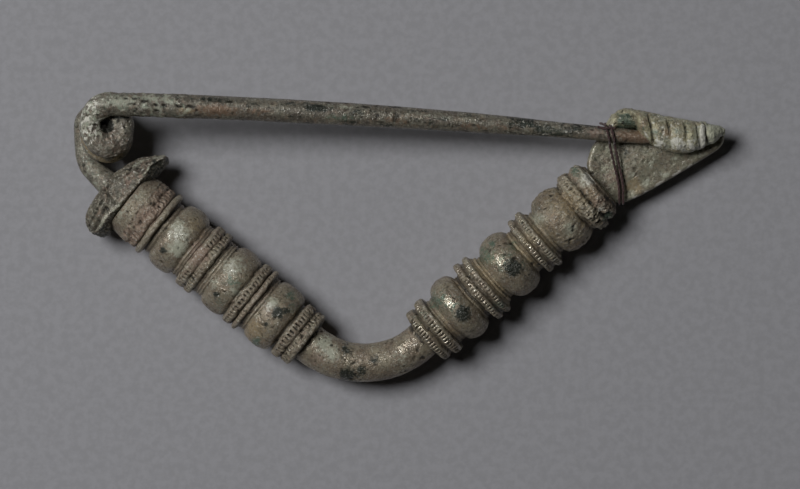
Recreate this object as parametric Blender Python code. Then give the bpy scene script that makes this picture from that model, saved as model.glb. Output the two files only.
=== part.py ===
"""A cast bronze fibula (brooch) of the triangular kind, lying on its side.

Two arms with turned beads and rings meet in a plain elbow. A sprung wire closes the third side, and its
point lies in a catch plate whose upper edge is folded over as a hand. A thread ties the pin to the catch.

Sizes are in millimetres, and MM turns them into Blender's metres. The plan is laid out from the apex, where
the axes of the two arms would meet, with the pin towards +Y and the catch towards +X. At the end everything
moves together, so that the origin is the middle of the underside.
"""

import math

import bmesh
import bpy
from mathutils import Vector

MM = 0.001
GAP = 0.3  # clearance between two separate pieces

# The bow: headings are seen from above, anticlockwise from +X.
LEFT_ARM_HEADING = math.radians(-38.5)
RIGHT_ARM_HEADING = math.radians(41.0)
ELBOW_RADIUS = 11.8
ELBOW_STEPS = 11
ELBOW_THICKNESS = (2.75, 2.57)  # tube radius where the elbow leaves each arm
HEAD_AXIS_HEIGHT = 4.85
CATCH_AXIS_HEIGHT = 4.55
TUBE_START = 2.5  # the turned arm starts this far inside the crossbar
BOW_ROUNDNESS = 7  # the bevel resolution of each swept tube

# Mouldings as (kind, width along the arm, radius, end radius of a bead or start radius of a flare).
LEFT_ARM = (
    ("plain", 4.55, 3.60),
    ("flare", 1.38, 4.82, 4.10),
    ("ring", 1.24, 4.75),
    ("ring", 1.24, 4.75),
    ("plain", 0.14, 4.35),
    ("ring", 0.96, 4.95),
    ("plain", 0.95, 4.20),
    ("bead", 4.13, 4.95, 3.95),
    ("plain", 0.96, 4.20),
    ("ring", 1.51, 4.95),
    ("ring", 1.24, 4.95),
    ("plain", 1.38, 4.20),
    ("bead", 4.13, 4.95, 3.95),
    ("ring", 1.51, 4.95),
    ("plain", 0.14, 4.45),
    ("ring", 0.83, 4.95),
    ("plain", 0.83, 4.20),
    ("bead", 4.40, 4.84, 3.80),
    ("plain", 0.41, 3.72),
    ("ring", 1.51, 4.33),
    ("ring", 1.65, 4.10),
    ("plain", 0.56, 2.75),
)
RIGHT_ARM = (
    ("plain", 0.80, 2.57),
    ("ring", 1.51, 4.13),
    ("plain", 0.28, 3.50),
    ("ring", 1.51, 4.54),
    ("plain", 1.10, 3.55),
    ("bead", 3.99, 4.86, 3.60),
    ("plain", 0.85, 3.30),
    ("ring", 1.10, 4.82),
    ("plain", 0.41, 3.95),
    ("ring", 0.96, 4.82),
    ("flare", 0.83, 3.70, 4.15),
    ("plain", 0.55, 3.30),
    ("bead", 4.82, 4.79, 3.45),
    ("plain", 0.97, 3.35),
    ("ring", 0.96, 4.54),
    ("plain", 0.41, 3.95),
    ("ring", 1.10, 4.61),
    ("flare", 0.55, 3.45, 3.95),
    ("plain", 0.62, 3.30),
    ("bead", 4.95, 4.64, 3.45),
    ("plain", 0.41, 3.80),
    ("ring", 1.93, 4.54),
    ("ring", 1.60, 4.33),
    ("flare", 0.74, 3.25, 4.20),
)
BEAD_STEPS = 7
BEAD_FULLNESS = 2.2  # 2 is an ellipse, more is a barrel
RING_ROUNDING = 0.22
RING_SHOULDER = 0.28  # share of a ring's width
EDGE = 0.05  # how far one moulding keeps from the next

# The crossbar at the head: (place across the arm, outer face, inner face, underside, crest).
CROSSBAR = (
    (-6.55, 1.85, 3.30, 3.60, 6.50),
    (-5.90, 0.95, 4.45, 2.80, 7.60),
    (-3.85, 0.15, 4.05, 2.30, 8.60),
    (-1.65, 0.00, 3.60, 2.00, 9.00),
    (1.10, 0.00, 3.60, 2.00, 9.00),
    (2.75, 0.45, 3.75, 2.10, 8.80),
    (4.15, 0.95, 4.05, 2.40, 8.40),
    (5.50, 1.85, 4.60, 2.90, 7.70),
    (6.95, 2.95, 4.60, 3.60, 6.80),
    (7.75, 3.60, 4.30, 4.30, 6.00),
)
CROSSBAR_SLOPE = 2.0  # the top falls this much from the crest to the outer face
CROSSBAR_EDGE = 0.3  # how much its long edges are taken off

# The wire: spring, root and pin. Places on the coil go back from the start of the pin in quarter turns.
COIL_CENTRE = (0.15, 7.70)  # from the head's outer face
COIL_RADII = (3.07, 2.25, 2.66, 2.20, 1.95, 2.55, 3.60, 1.70, 2.20, 3.42)
COIL_WIRE = (1.55, 1.42, 1.42, 1.40, 1.40, 1.40, 1.40, 1.42, 1.44, 1.48)
COIL_STEPS = 5  # points in each quarter turn
COIL_PITCH = 3.15
COIL_SINK = 0.60  # the outermost strand drops this much more, clear of the turn above it
SEAT_DEPTH = 2.10
ROOT_HEIGHT = 4.40
ROOT_SWING = (0.42, 0.62)  # how far the bend's handles reach, at the head and at the coil
ROOT_STEPS = 7
SEAT_RUN_OUT = 1.5  # the seat is cut from this far outside the head
WIRE_ROUNDNESS = 3
CUTTER_ROUNDNESS = 4
PIN_LENGTH = 76.9
PIN_FALL = 0.027  # sideways slope at the start
PIN_BOW = 2.80  # sideways bend by the point
PIN_START_HEIGHT = 11.05
PIN_POINT_HEIGHT = 6.10
PIN_SAG = 1.25  # 1 is a straight fall towards the point, more falls sooner
PIN_STEPS = 15
PIN_TAPER = ((0.0, 1.55), (0.10, 1.64), (0.38, 1.62), (0.53, 1.51), (0.66, 1.38), (0.81, 1.04))
PIN_TAPER_END = ((0.92, 1.00), (0.955, 0.85), (1.0, 0.40))

# The catch, laid out from the end of the right arm.
PLATE_UNDERSIDE = 3.55
PLATE_TOP = 4.65
PLATE_HEEL = (-1.30, 5.10)
PLATE_NECK = (-1.95, 2.85)
PLATE_WRIST = (2.60, 9.95)
PLATE_TIP = (16.95, 7.40)
PLATE_NOSE = (17.20, 5.25)
PLATE_FOOT = (3.05, -2.55)
PLATE_ROOT = (-0.60, -1.60)
PLATE_BULGE = 0.15  # the long lower edge swells outwards
PLATE_EDGE_STEPS = 6
PLATE_CORNER_STEPS = 4
FOOT_CUT = 0.8  # how far each corner's rounding reaches along its edges
NOSE_CUT = 1.6
TIP_CUT = 0.3
WRIST_CUT = 1.2
HEEL_CUT = 0.8
HAND_START = 0.85
HAND_END = 17.15
HAND_PLACES = (1.5, 2.3, 3.4, 5.1, 5.9, 16.1, 16.7)  # sections between the grooves and the ends
HAND_TOP = ((0.85, 8.75), (1.5, 9.65), (2.3, 10.20), (3.4, 10.52), (16.7, 8.02), (17.15, 7.60))
HAND_LIP = (
    (1.5, 7.44),
    (5.1, 7.38),
    (6.7, 5.65),
    (8.4, 4.85),
    (10.2, 4.42),
    (11.9, 4.42),
    (13.6, 5.10),
    (15.4, 5.70),
    (16.6, 6.60),
    (17.15, 6.95),
)
HAND_CROWN = (
    (0.85, 6.1),
    (1.5, 6.8),
    (3.0, 7.7),
    (6.0, 8.0),
    (11.7, 8.0),
    (13.6, 7.4),
    (15.4, 6.7),
    (17.15, 5.3),
)
FINGER_GROOVES = (6.75, 9.15, 11.45, 13.35, 14.95)
GROOVE_HALF_WIDTH = 0.28
GROOVE_DEPTH = 0.30
GROOVE_SLANT = 0.35
HAND_SIDES = 9
HAND_ROUNDNESS = 0.75  # 1 is an ellipse, less is squarer
HAND_FLOOR = PLATE_UNDERSIDE + 0.15
HAND_RIM = 0.9  # the cover springs from this far above its floor
HAND_INSET = 0.15
CHANNEL_START = 0.88  # share of the pin's length

# The thread's two turns, where they cross the pin and where they cross the plate's lower edge.
THREAD_RADIUS = 0.20
THREAD_ON_PIN = 0.898  # share of the pin's length
THREAD_ON_PLATE = (2.97, -2.45)
THREAD_BEYOND_PIN = 0.85  # how far past the pin's axis the plate's hidden edge lies
THREAD_LEAN = 1.30  # the strands come up this much nearer the spring, and slant back over the pin
THREAD_SLACK = 0.10  # a little more room where the strands slant over the pin
THREAD_TURNS = 2
THREAD_SPACING = 0.66
THREAD_STEPS = 22  # points in each turn
THREAD_ROUNDNESS = 2

# What lies below the surface that the brooch rests on: its size and where its middle is.
UNDERGROUND = (120.0, 80.0, 2.0)
UNDERGROUND_MIDDLE = (0.0, 20.0, -1.0)


def clear_scene():
    for old in list(bpy.data.objects):
        bpy.data.objects.remove(old, do_unlink=True)


def collection(name):
    made = bpy.data.collections.new(name)
    bpy.context.scene.collection.children.link(made)
    return made


def bronze(name, colour, roughness):
    """A patinated metal: mostly matt, with some of the metal's own shine."""
    material = bpy.data.materials.new(name)
    material.use_nodes = True
    shader = material.node_tree.nodes["Principled BSDF"]
    shader.inputs["Base Color"].default_value = (*colour, 1.0)
    shader.inputs["Metallic"].default_value = 0.45
    shader.inputs["Roughness"].default_value = roughness
    return material


def fibre(name, colour):
    material = bpy.data.materials.new(name)
    material.use_nodes = True
    shader = material.node_tree.nodes["Principled BSDF"]
    shader.inputs["Base Color"].default_value = (*colour, 1.0)
    shader.inputs["Roughness"].default_value = 0.9
    return material


def heading(angle):
    return Vector((math.cos(angle), math.sin(angle), 0.0))


def leftward(angle):
    return Vector((-math.sin(angle), math.cos(angle), 0.0))


def mix(a, b, share):
    return a + (b - a) * share


def between(table, place):
    """The value at a place in a table of (place, value), straight between its entries."""
    if place <= table[0][0]:
        return table[0][1]
    for (start, low), (end, high) in zip(table, table[1:]):
        if place <= end:
            return mix(low, high, (place - start) / (end - start))
    return table[-1][1]


def eased(values, place):
    """The value at a place counted in entries, with a smooth turn at each entry."""
    entry = min(int(place), len(values) - 2)
    share = place - entry
    share = share * share * (3.0 - 2.0 * share)
    return mix(values[entry], values[entry + 1], share)


# ---- the bow's centreline and turned profile ----

def arm_length(mouldings):
    return sum(moulding[1] for moulding in mouldings)


LEFT_LENGTH = arm_length(LEFT_ARM)
RIGHT_LENGTH = arm_length(RIGHT_ARM)
ELBOW_TURN = RIGHT_ARM_HEADING - LEFT_ARM_HEADING
ELBOW_LENGTH = ELBOW_RADIUS * ELBOW_TURN
ELBOW_TANGENT = ELBOW_RADIUS * math.tan(ELBOW_TURN / 2.0)
BOW_LENGTH = LEFT_LENGTH + ELBOW_LENGTH + RIGHT_LENGTH


def bow_point(place):
    """A point of the bow's centreline, from its distance along it from the head's outer face."""
    height = mix(HEAD_AXIS_HEIGHT, CATCH_AXIS_HEIGHT, place / BOW_LENGTH)
    left_end = -heading(LEFT_ARM_HEADING) * ELBOW_TANGENT
    if place <= LEFT_LENGTH:
        point = left_end - heading(LEFT_ARM_HEADING) * (LEFT_LENGTH - place)
    elif place <= LEFT_LENGTH + ELBOW_LENGTH:
        turned = LEFT_ARM_HEADING + (place - LEFT_LENGTH) / ELBOW_RADIUS
        centre = left_end + leftward(LEFT_ARM_HEADING) * ELBOW_RADIUS
        point = centre - leftward(turned) * ELBOW_RADIUS
    else:
        beyond = place - LEFT_LENGTH - ELBOW_LENGTH
        point = heading(RIGHT_ARM_HEADING) * (ELBOW_TANGENT + beyond)
    return Vector((point.x, point.y, height))


def plain(width, radius):
    if width < 0.5:
        return [(width / 2.0, radius)]
    return [(EDGE, radius), (width - EDGE, radius)]


def ring(width, radius):
    """A raised band with rounded shoulders."""
    low = radius - RING_ROUNDING
    rise = RING_SHOULDER * width
    edge = EDGE * width
    return [(edge, low), (rise, radius), (width - rise, radius), (width - edge, low)]


def flare(width, radius, start):
    return [(EDGE, start), (0.55 * width, mix(start, radius, 0.8)), (width - EDGE, radius)]


def bead(width, radius, end):
    """A barrel: full in the middle and rounded in to its ends."""
    points = []
    for step in range(BEAD_STEPS + 1):
        across = abs(2.0 * step / BEAD_STEPS - 1.0)
        fullness = (1.0 - across**BEAD_FULLNESS) ** (1.0 / BEAD_FULLNESS)
        points.append((mix(EDGE, width - EDGE, step / BEAD_STEPS), mix(end, radius, fullness)))
    return points


PROFILES = {"plain": plain, "ring": ring, "flare": flare, "bead": bead}


def turned_stations(mouldings, start):
    """(place along the bow, radius) down one arm."""
    stations = []
    for kind, width, *sizes in mouldings:
        stations += [(start + along, radius) for along, radius in PROFILES[kind](width, *sizes)]
        start += width
    return stations


def elbow_stations():
    return [
        (LEFT_LENGTH + ELBOW_LENGTH * step / ELBOW_STEPS, mix(*ELBOW_THICKNESS, step / ELBOW_STEPS))
        for step in range(ELBOW_STEPS + 1)
    ]


def bow_stations():
    stations = turned_stations(LEFT_ARM, 0.0) + elbow_stations()
    stations += turned_stations(RIGHT_ARM, LEFT_LENGTH + ELBOW_LENGTH)
    return [(max(place, TUBE_START), radius) for place, radius in stations]


# ---- the wire ----

def head_frame():
    """The head's outer face: its middle, the way into the arm, and the way across it towards the pin."""
    return bow_point(0.0), heading(LEFT_ARM_HEADING), leftward(LEFT_ARM_HEADING)


def coil_centre():
    middle, _, _ = head_frame()
    return Vector((middle.x + COIL_CENTRE[0], middle.y + COIL_CENTRE[1], 0.0))


def coil_points():
    """(point, radius) from the outermost strand, beside the head, round to the start of the pin."""
    quarters = len(COIL_RADII) - 1
    made = []
    for step in range(quarters * COIL_STEPS, 0, -1):
        back = step / COIL_STEPS
        outwards = heading(math.pi / 2.0 + back * math.pi / 2.0)
        point = coil_centre() + outwards * eased(COIL_RADII, back)
        sunk = COIL_SINK * max(0.0, back - quarters + 3.0) / 3.0
        point.z = PIN_START_HEIGHT - COIL_PITCH * back / 4.0 - sunk
        made.append((point, eased(COIL_WIRE, back)))
    return made


def root_points(first):
    """(point, radius) from the seat in the head to the first point of the coil."""
    middle, inwards, _ = head_frame()
    face = Vector((middle.x, middle.y, ROOT_HEIGHT))
    reach = (face - first).length
    out_of_head = face - inwards * reach * ROOT_SWING[0]
    into_coil = first - Vector((0.0, reach * ROOT_SWING[1], 0.0))
    made = [(face + inwards * SEAT_DEPTH, COIL_WIRE[-1])]
    for step in range(ROOT_STEPS):
        share = step / ROOT_STEPS
        rest = 1.0 - share
        point = face * rest**3 + out_of_head * 3.0 * rest**2 * share
        point += into_coil * 3.0 * rest * share**2 + first * share**3
        made.append((point, COIL_WIRE[-1]))
    return made


def pin_point(share):
    along = PIN_LENGTH * share
    point = coil_centre() + Vector((along, COIL_RADII[0], 0.0))
    point.y -= PIN_FALL * along + PIN_BOW * share**2
    point.z = mix(PIN_POINT_HEIGHT, PIN_START_HEIGHT, (1.0 - share) ** PIN_SAG)
    return point


def pin_radius(share):
    return between(PIN_TAPER + PIN_TAPER_END, share)


def pin_points(start=0.0):
    places = {start + (1.0 - start) * step / PIN_STEPS for step in range(PIN_STEPS + 1)}
    places |= {place for place, _ in PIN_TAPER_END if place > start}
    return [(pin_point(place), pin_radius(place)) for place in sorted(places)]


def wire_points():
    coil = coil_points()
    return root_points(coil[0][0]) + coil + pin_points()


# ---- the thread ----

def tight_loop(discs, steps):
    """A loop pulled tight round discs given as (place across, height, radius), as (across, height)."""
    spread = 1.0 / math.cos(2.0 * math.pi / steps)  # keeps the chords outside the discs
    loop = []
    for step in range(steps):
        angle = 2.0 * math.pi * step / steps
        out = (math.cos(angle), math.sin(angle))
        across, height, radius = max(discs, key=lambda d: d[0] * out[0] + d[1] * out[1] + d[2])
        loop.append((across + out[0] * radius * spread, height + out[1] * radius * spread))
    return loop


def thread_points():
    pin = pin_point(THREAD_ON_PIN)
    foot = catch_origin() + Vector((*THREAD_ON_PLATE, 0.0))
    away = Vector((foot.x - pin.x, foot.y - pin.y, 0.0))
    reach = away.length
    away.normalize()
    beside = Vector((-away.y, away.x, 0.0))
    towards_spring = (pin_point(0.9 * THREAD_ON_PIN) - pin).normalized()
    clear = GAP + THREAD_RADIUS
    discs = (
        (0.0, pin.z, pin_radius(THREAD_ON_PIN) + clear + THREAD_SLACK),
        (reach, PLATE_TOP, clear),
        (reach, PLATE_UNDERSIDE, clear),
        (-THREAD_BEYOND_PIN, PLATE_UNDERSIDE, clear),
        (-THREAD_BEYOND_PIN, PLATE_TOP, clear),
    )
    loop = tight_loop(discs, THREAD_STEPS)
    turns = []
    count = THREAD_TURNS * THREAD_STEPS
    first = 3 * THREAD_STEPS // 4  # both ends are tucked away underneath
    for step in range(count):
        across, height = loop[(first + step) % THREAD_STEPS]
        crossing = reach if height < PLATE_UNDERSIDE else pin_radius(THREAD_ON_PIN)
        leaning = THREAD_LEAN * (1.0 - min(1.0, max(0.0, across / crossing)))
        point = pin + away * across + towards_spring * leaning
        point += beside * THREAD_SPACING * (0.5 - step / (count - 1))
        point.z = height
        turns.append((point, THREAD_RADIUS))
    return turns


# ---- making Blender objects ----

def swept(name, points, sides_level, into):
    """A tube through (point, radius) pairs: a poly curve with filled caps."""
    curve = bpy.data.curves.new(name, "CURVE")
    curve.dimensions = "3D"
    curve.twist_mode = "Z_UP"
    curve.bevel_depth = MM
    curve.bevel_resolution = sides_level
    curve.use_fill_caps = True
    spline = curve.splines.new("POLY")
    spline.points.add(len(points) - 1)
    for spot, (point, radius) in zip(spline.points, points):
        spot.co = (*(point * MM), 1.0)
        spot.radius = radius
    made = bpy.data.objects.new(name, curve)
    into.objects.link(made)
    return made


def as_mesh(source, weld=0.001 * MM):
    """The curve's object replaced by a closed mesh of the same name."""
    graph = bpy.context.evaluated_depsgraph_get()
    mesh = bpy.data.meshes.new_from_object(source.evaluated_get(graph))
    work = bmesh.new()
    work.from_mesh(mesh)
    bmesh.ops.remove_doubles(work, verts=work.verts, dist=weld)
    bmesh.ops.recalc_face_normals(work, faces=work.faces)
    work.to_mesh(mesh)
    work.free()
    name = source.name
    made = bpy.data.objects.new(name + "_mesh", mesh)
    made.matrix_world = source.matrix_world.copy()
    for group in source.users_collection:
        group.objects.link(made)
    bpy.data.objects.remove(source, do_unlink=True)
    made.name = name
    return made


def lofted(name, sections, into):
    """A closed solid through sections with the same number of points, each a list of points in order."""
    mesh = bpy.data.meshes.new(name)
    work = bmesh.new()
    loops = [[work.verts.new(point * MM) for point in section] for section in sections]
    for before, after in zip(loops, loops[1:]):
        for here in range(len(before)):
            there = (here + 1) % len(before)
            work.faces.new((before[here], before[there], after[there], after[here]))
    work.faces.new(list(reversed(loops[0])))
    work.faces.new(loops[-1])
    bmesh.ops.recalc_face_normals(work, faces=work.faces)
    work.to_mesh(mesh)
    work.free()
    made = bpy.data.objects.new(name, mesh)
    into.objects.link(made)
    return made


def outlined(name, outline, low, high, into):
    """A flat outline with a thickness."""
    curve = bpy.data.curves.new(name, "CURVE")
    curve.dimensions = "2D"
    curve.fill_mode = "BOTH"
    curve.extrude = (high - low) / 2.0 * MM
    spline = curve.splines.new("POLY")
    spline.points.add(len(outline) - 1)
    for spot, point in zip(spline.points, outline):
        spot.co = (point.x * MM, point.y * MM, 0.0, 1.0)
    spline.use_cyclic_u = True
    made = bpy.data.objects.new(name, curve)
    made.location.z = (high + low) / 2.0 * MM
    into.objects.link(made)
    bpy.context.view_layer.update()
    return as_mesh(made)


def smoothed(target, angle=40.0):
    target.data.shade_smooth()
    target.data.set_sharp_from_angle(angle=math.radians(angle))


def helper(target):
    target.hide_render = True
    target.display_type = "WIRE"
    return target


def combine(target, tool, operation):
    """A Boolean that stays on the target as a modifier."""
    change = target.modifiers.new(tool.name, "BOOLEAN")
    change.object = tool
    change.operation = operation
    change.solver = "EXACT"


# ---- the pieces ----

def crossbar(into):
    middle, inwards, across = head_frame()
    sections = []
    for place, outer, inner, low, crest in CROSSBAR:
        corners = (
            (mix(outer, inner, 0.25), low),
            (outer, low + CROSSBAR_EDGE),
            (outer, crest - CROSSBAR_SLOPE),
            (mix(outer, inner, 0.40), crest - 0.45 * CROSSBAR_SLOPE),
            (mix(outer, inner, 0.85), crest),
            (inner, crest - CROSSBAR_EDGE),
            (inner, low + CROSSBAR_EDGE),
        )
        spine = Vector((middle.x, middle.y, 0.0)) + across * place
        sections.append([spine + inwards * along + Vector((0.0, 0.0, up)) for along, up in corners])
    return helper(lofted("head_crossbar", sections, into))


def catch_origin():
    end = bow_point(BOW_LENGTH)
    return Vector((end.x, end.y, 0.0))


def bulged(start, end, bulge, steps):
    """Points from start to end on a shallow arc that swells to its right."""
    run = end - start
    aside = Vector((run.y, -run.x, 0.0)).normalized()
    shares = [step / steps for step in range(steps + 1)]
    return [start + run * share + aside * bulge * 4.0 * share * (1.0 - share) for share in shares]


def rounded_corner(before, corner, after, cut, steps):
    """Points that round a corner between the two edges that meet there."""
    start = corner + (before - corner).normalized() * cut
    end = corner + (after - corner).normalized() * cut
    points = []
    for step in range(steps + 1):
        share = step / steps
        points.append(start.lerp(corner, share).lerp(corner.lerp(end, share), share))
    return points


def plate_outline():
    origin = catch_origin()
    places = (PLATE_HEEL, PLATE_WRIST, PLATE_TIP, PLATE_NOSE, PLATE_FOOT, PLATE_ROOT, PLATE_NECK)
    heel, wrist, tip, nose, foot, root, neck = (origin + Vector((*place, 0.0)) for place in places)
    edge = bulged(foot, nose, PLATE_BULGE, PLATE_EDGE_STEPS)
    outline = rounded_corner(root, foot, edge[1], FOOT_CUT, PLATE_CORNER_STEPS)
    outline += edge[2:-2]
    outline += rounded_corner(edge[-2], nose, tip, NOSE_CUT, PLATE_CORNER_STEPS)
    outline += rounded_corner(nose, tip, wrist, TIP_CUT, PLATE_CORNER_STEPS)
    outline += rounded_corner(tip, wrist, heel, WRIST_CUT, PLATE_CORNER_STEPS)
    outline += rounded_corner(wrist, heel, neck, HEEL_CUT, PLATE_CORNER_STEPS)
    outline += [neck, root]
    return outline


def hand_places():
    """Where the hand is sectioned: thickly at each finger groove, and between them."""
    places = {HAND_START, *HAND_PLACES, HAND_END}
    for groove in FINGER_GROOVES:
        places |= {groove - GROOVE_HALF_WIDTH, groove, groove + GROOVE_HALF_WIDTH}
    for first, second in zip(FINGER_GROOVES, FINGER_GROOVES[1:]):
        places.add((first + second) / 2.0)
    return sorted(places)


def folded_hand(into):
    """The plate's folded edge: a rounded cover from its top edge over to its lip, grooved as fingers."""
    origin = catch_origin()
    sections = []
    for place in hand_places():
        sunk = GROOVE_DEPTH if place in FINGER_GROOVES else 0.0
        top = between(HAND_TOP, place) - sunk * 0.5
        lip = between(HAND_LIP, place) + sunk
        crown = between(HAND_CROWN, place) - sunk
        section = []
        for side in range(HAND_SIDES):
            turn = side / (HAND_SIDES - 1)
            angle = math.pi * turn
            across = mix(top, lip, (1.0 - math.cos(angle)) / 2.0)
            height = mix(HAND_FLOOR + HAND_RIM, crown, math.sin(angle) ** HAND_ROUNDNESS)
            lean = GROOVE_SLANT * (turn - 0.5)
            section.append(origin + Vector((place + lean, across, height)))
        section.append(origin + Vector((place + GROOVE_SLANT / 2.0, lip + HAND_INSET, HAND_FLOOR)))
        section.append(origin + Vector((place - GROOVE_SLANT / 2.0, top - HAND_INSET, HAND_FLOOR)))
        sections.append(section)
    return helper(lofted("catch_hand", sections, into))


def catch_plate(into):
    return helper(outlined("catch_plate", plate_outline(), PLATE_UNDERSIDE, PLATE_TOP, into))


def pin_channel(into):
    """What is cut from the hand to let the pin lie in it."""
    points = [(point, radius + GAP) for point, radius in pin_points(CHANNEL_START)]
    last, radius = points[-1]
    way = (last - points[-2][0]).normalized()
    points.append((last + way * GAP, radius))
    return helper(as_mesh(swept("pin_channel", points, CUTTER_ROUNDNESS, into)))


def root_seat(into):
    """What is cut from the head to seat the wire's root."""
    middle, inwards, _ = head_frame()
    face = Vector((middle.x, middle.y, ROOT_HEIGHT))
    radius = COIL_WIRE[-1] + GAP
    points = [(face - inwards * SEAT_RUN_OUT, radius), (face + inwards * (SEAT_DEPTH + GAP), radius)]
    return helper(as_mesh(swept("root_seat", points, CUTTER_ROUNDNESS, into)))


def resting_plane(into):
    """What is worn off the underside of the beads: everything below the floor."""
    mesh = bpy.data.meshes.new("resting_plane")
    work = bmesh.new()
    bmesh.ops.create_cube(work, size=1.0)
    bmesh.ops.scale(work, verts=work.verts, vec=Vector(UNDERGROUND) * MM)
    bmesh.ops.translate(work, verts=work.verts, vec=Vector(UNDERGROUND_MIDDLE) * MM)
    work.to_mesh(mesh)
    work.free()
    made = bpy.data.objects.new("resting_plane", mesh)
    into.objects.link(made)
    return helper(made)


def make_bow(into, cutters):
    points = [(bow_point(place), radius) for place, radius in bow_stations()]
    bow = as_mesh(swept("bow", points, BOW_ROUNDNESS, into))
    bow.data.materials.clear()
    bow.data.materials.append(bronze("patinated_bronze", (0.20, 0.18, 0.14), 0.55))
    for joined in (crossbar(cutters), catch_plate(cutters), folded_hand(cutters)):
        combine(bow, joined, "UNION")
    for cut in (pin_channel(cutters), root_seat(cutters), resting_plane(cutters)):
        combine(bow, cut, "DIFFERENCE")
    smoothed(bow)
    return bow


def make_pin_and_spring(into):
    wire = swept("pin_and_spring", wire_points(), WIRE_ROUNDNESS, into)
    wire.data.materials.append(bronze("patinated_bronze_wire", (0.22, 0.18, 0.13), 0.6))
    return wire


def make_binding_thread(into):
    thread = swept("binding_thread", thread_points(), THREAD_ROUNDNESS, into)
    thread.data.materials.append(fibre("red_brown_thread", (0.09, 0.05, 0.06)))
    return thread


def footprint_middle(objects):
    """The middle of the objects' box in plan."""
    graph = bpy.context.evaluated_depsgraph_get()
    points = []
    for target in objects:
        evaluated = target.evaluated_get(graph)
        points += [evaluated.matrix_world @ vertex.co for vertex in evaluated.to_mesh().vertices]
        evaluated.to_mesh_clear()
    xs = [point.x for point in points]
    ys = [point.y for point in points]
    return (min(xs) + max(xs)) / 2.0, (min(ys) + max(ys)) / 2.0


def hang_on_origin(pieces, helpers):
    """One empty carries everything, placed so that the world origin is the middle of the underside."""
    brooch = bpy.data.objects.new("fibula_brooch", None)
    bpy.context.scene.collection.objects.link(brooch)
    middle_x, middle_y = footprint_middle(pieces)
    for target in pieces + helpers:
        target.parent = brooch
    brooch.location = (-middle_x, -middle_y, 0.0)


def main():
    clear_scene()
    parts = collection("fibula_brooch")
    cutters = collection("cutters")
    pieces = [make_bow(parts, cutters), make_pin_and_spring(parts), make_binding_thread(parts)]
    hang_on_origin(pieces, list(cutters.objects))


main()
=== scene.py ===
import functools
import itertools
import math

import bpy
import numpy as np
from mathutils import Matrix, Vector

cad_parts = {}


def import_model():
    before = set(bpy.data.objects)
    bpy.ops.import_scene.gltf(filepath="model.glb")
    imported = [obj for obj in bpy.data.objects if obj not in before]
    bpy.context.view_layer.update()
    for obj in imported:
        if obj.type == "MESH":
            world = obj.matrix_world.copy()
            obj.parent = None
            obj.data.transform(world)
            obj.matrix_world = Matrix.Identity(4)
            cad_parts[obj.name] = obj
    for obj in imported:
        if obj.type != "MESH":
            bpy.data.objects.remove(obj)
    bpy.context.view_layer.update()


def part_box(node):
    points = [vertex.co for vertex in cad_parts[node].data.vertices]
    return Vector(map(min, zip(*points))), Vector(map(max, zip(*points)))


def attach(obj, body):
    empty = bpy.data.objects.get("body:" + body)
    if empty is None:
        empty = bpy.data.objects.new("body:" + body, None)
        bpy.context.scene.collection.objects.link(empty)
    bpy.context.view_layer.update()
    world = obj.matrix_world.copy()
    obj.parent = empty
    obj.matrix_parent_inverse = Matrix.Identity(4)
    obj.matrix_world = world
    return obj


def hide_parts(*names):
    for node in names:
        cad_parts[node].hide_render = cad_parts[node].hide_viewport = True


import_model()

# Lengths are in millimetres and MM turns them into metres. The plan is laid out from the apex, where the
# axes of the two arms would meet, with the pin towards +Y and the catch towards +X.
MM = 0.001
UP = np.array([0, 0, 1])
FLAT = np.array([1, 1, 0])
LEFT_HEADING = math.radians(-38.5)
RIGHT_HEADING = math.radians(41)
ELBOW_RADIUS = 11.8
ELBOW_THICKNESS = (2.75, 2.57)
HEAD_AXIS_HEIGHT = 4.85
CATCH_AXIS_HEIGHT = 4.55
COIL_CENTRE = (0.15, 7.7)  # from the head's outer face
PIN_LENGTH = 76.9
PIN_END_REACH = 76.93  # from the coil's middle to the furthest point of the wire
ELBOW_LOW = 0.9  # the elbow's outer side, from the apex


def moulding(kind, width, radius, start=None, **finish):
    """One turned form of an arm, with its finish.

    milling is for a ring: the notches round it, their depth, the middle and half width of their row as
    shares of the ring, and how much of it is rubbed away. edge is how far a ring's edges drop, and lines
    are fine fillets. rough, shine and the tints run from 0.
    """
    usual = {"milling": (0, 0, 0.5, 0.4, 0), "edge": 0.34, "lines": 0}
    return {"kind": kind, "width": width, "radius": radius, "start": start or radius, **usual, **finish}


cone, ring, plain, bead, flare = (
    functools.partial(moulding, kind) for kind in ("cone", "ring", "plain", "bead", "flare")
)

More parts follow.
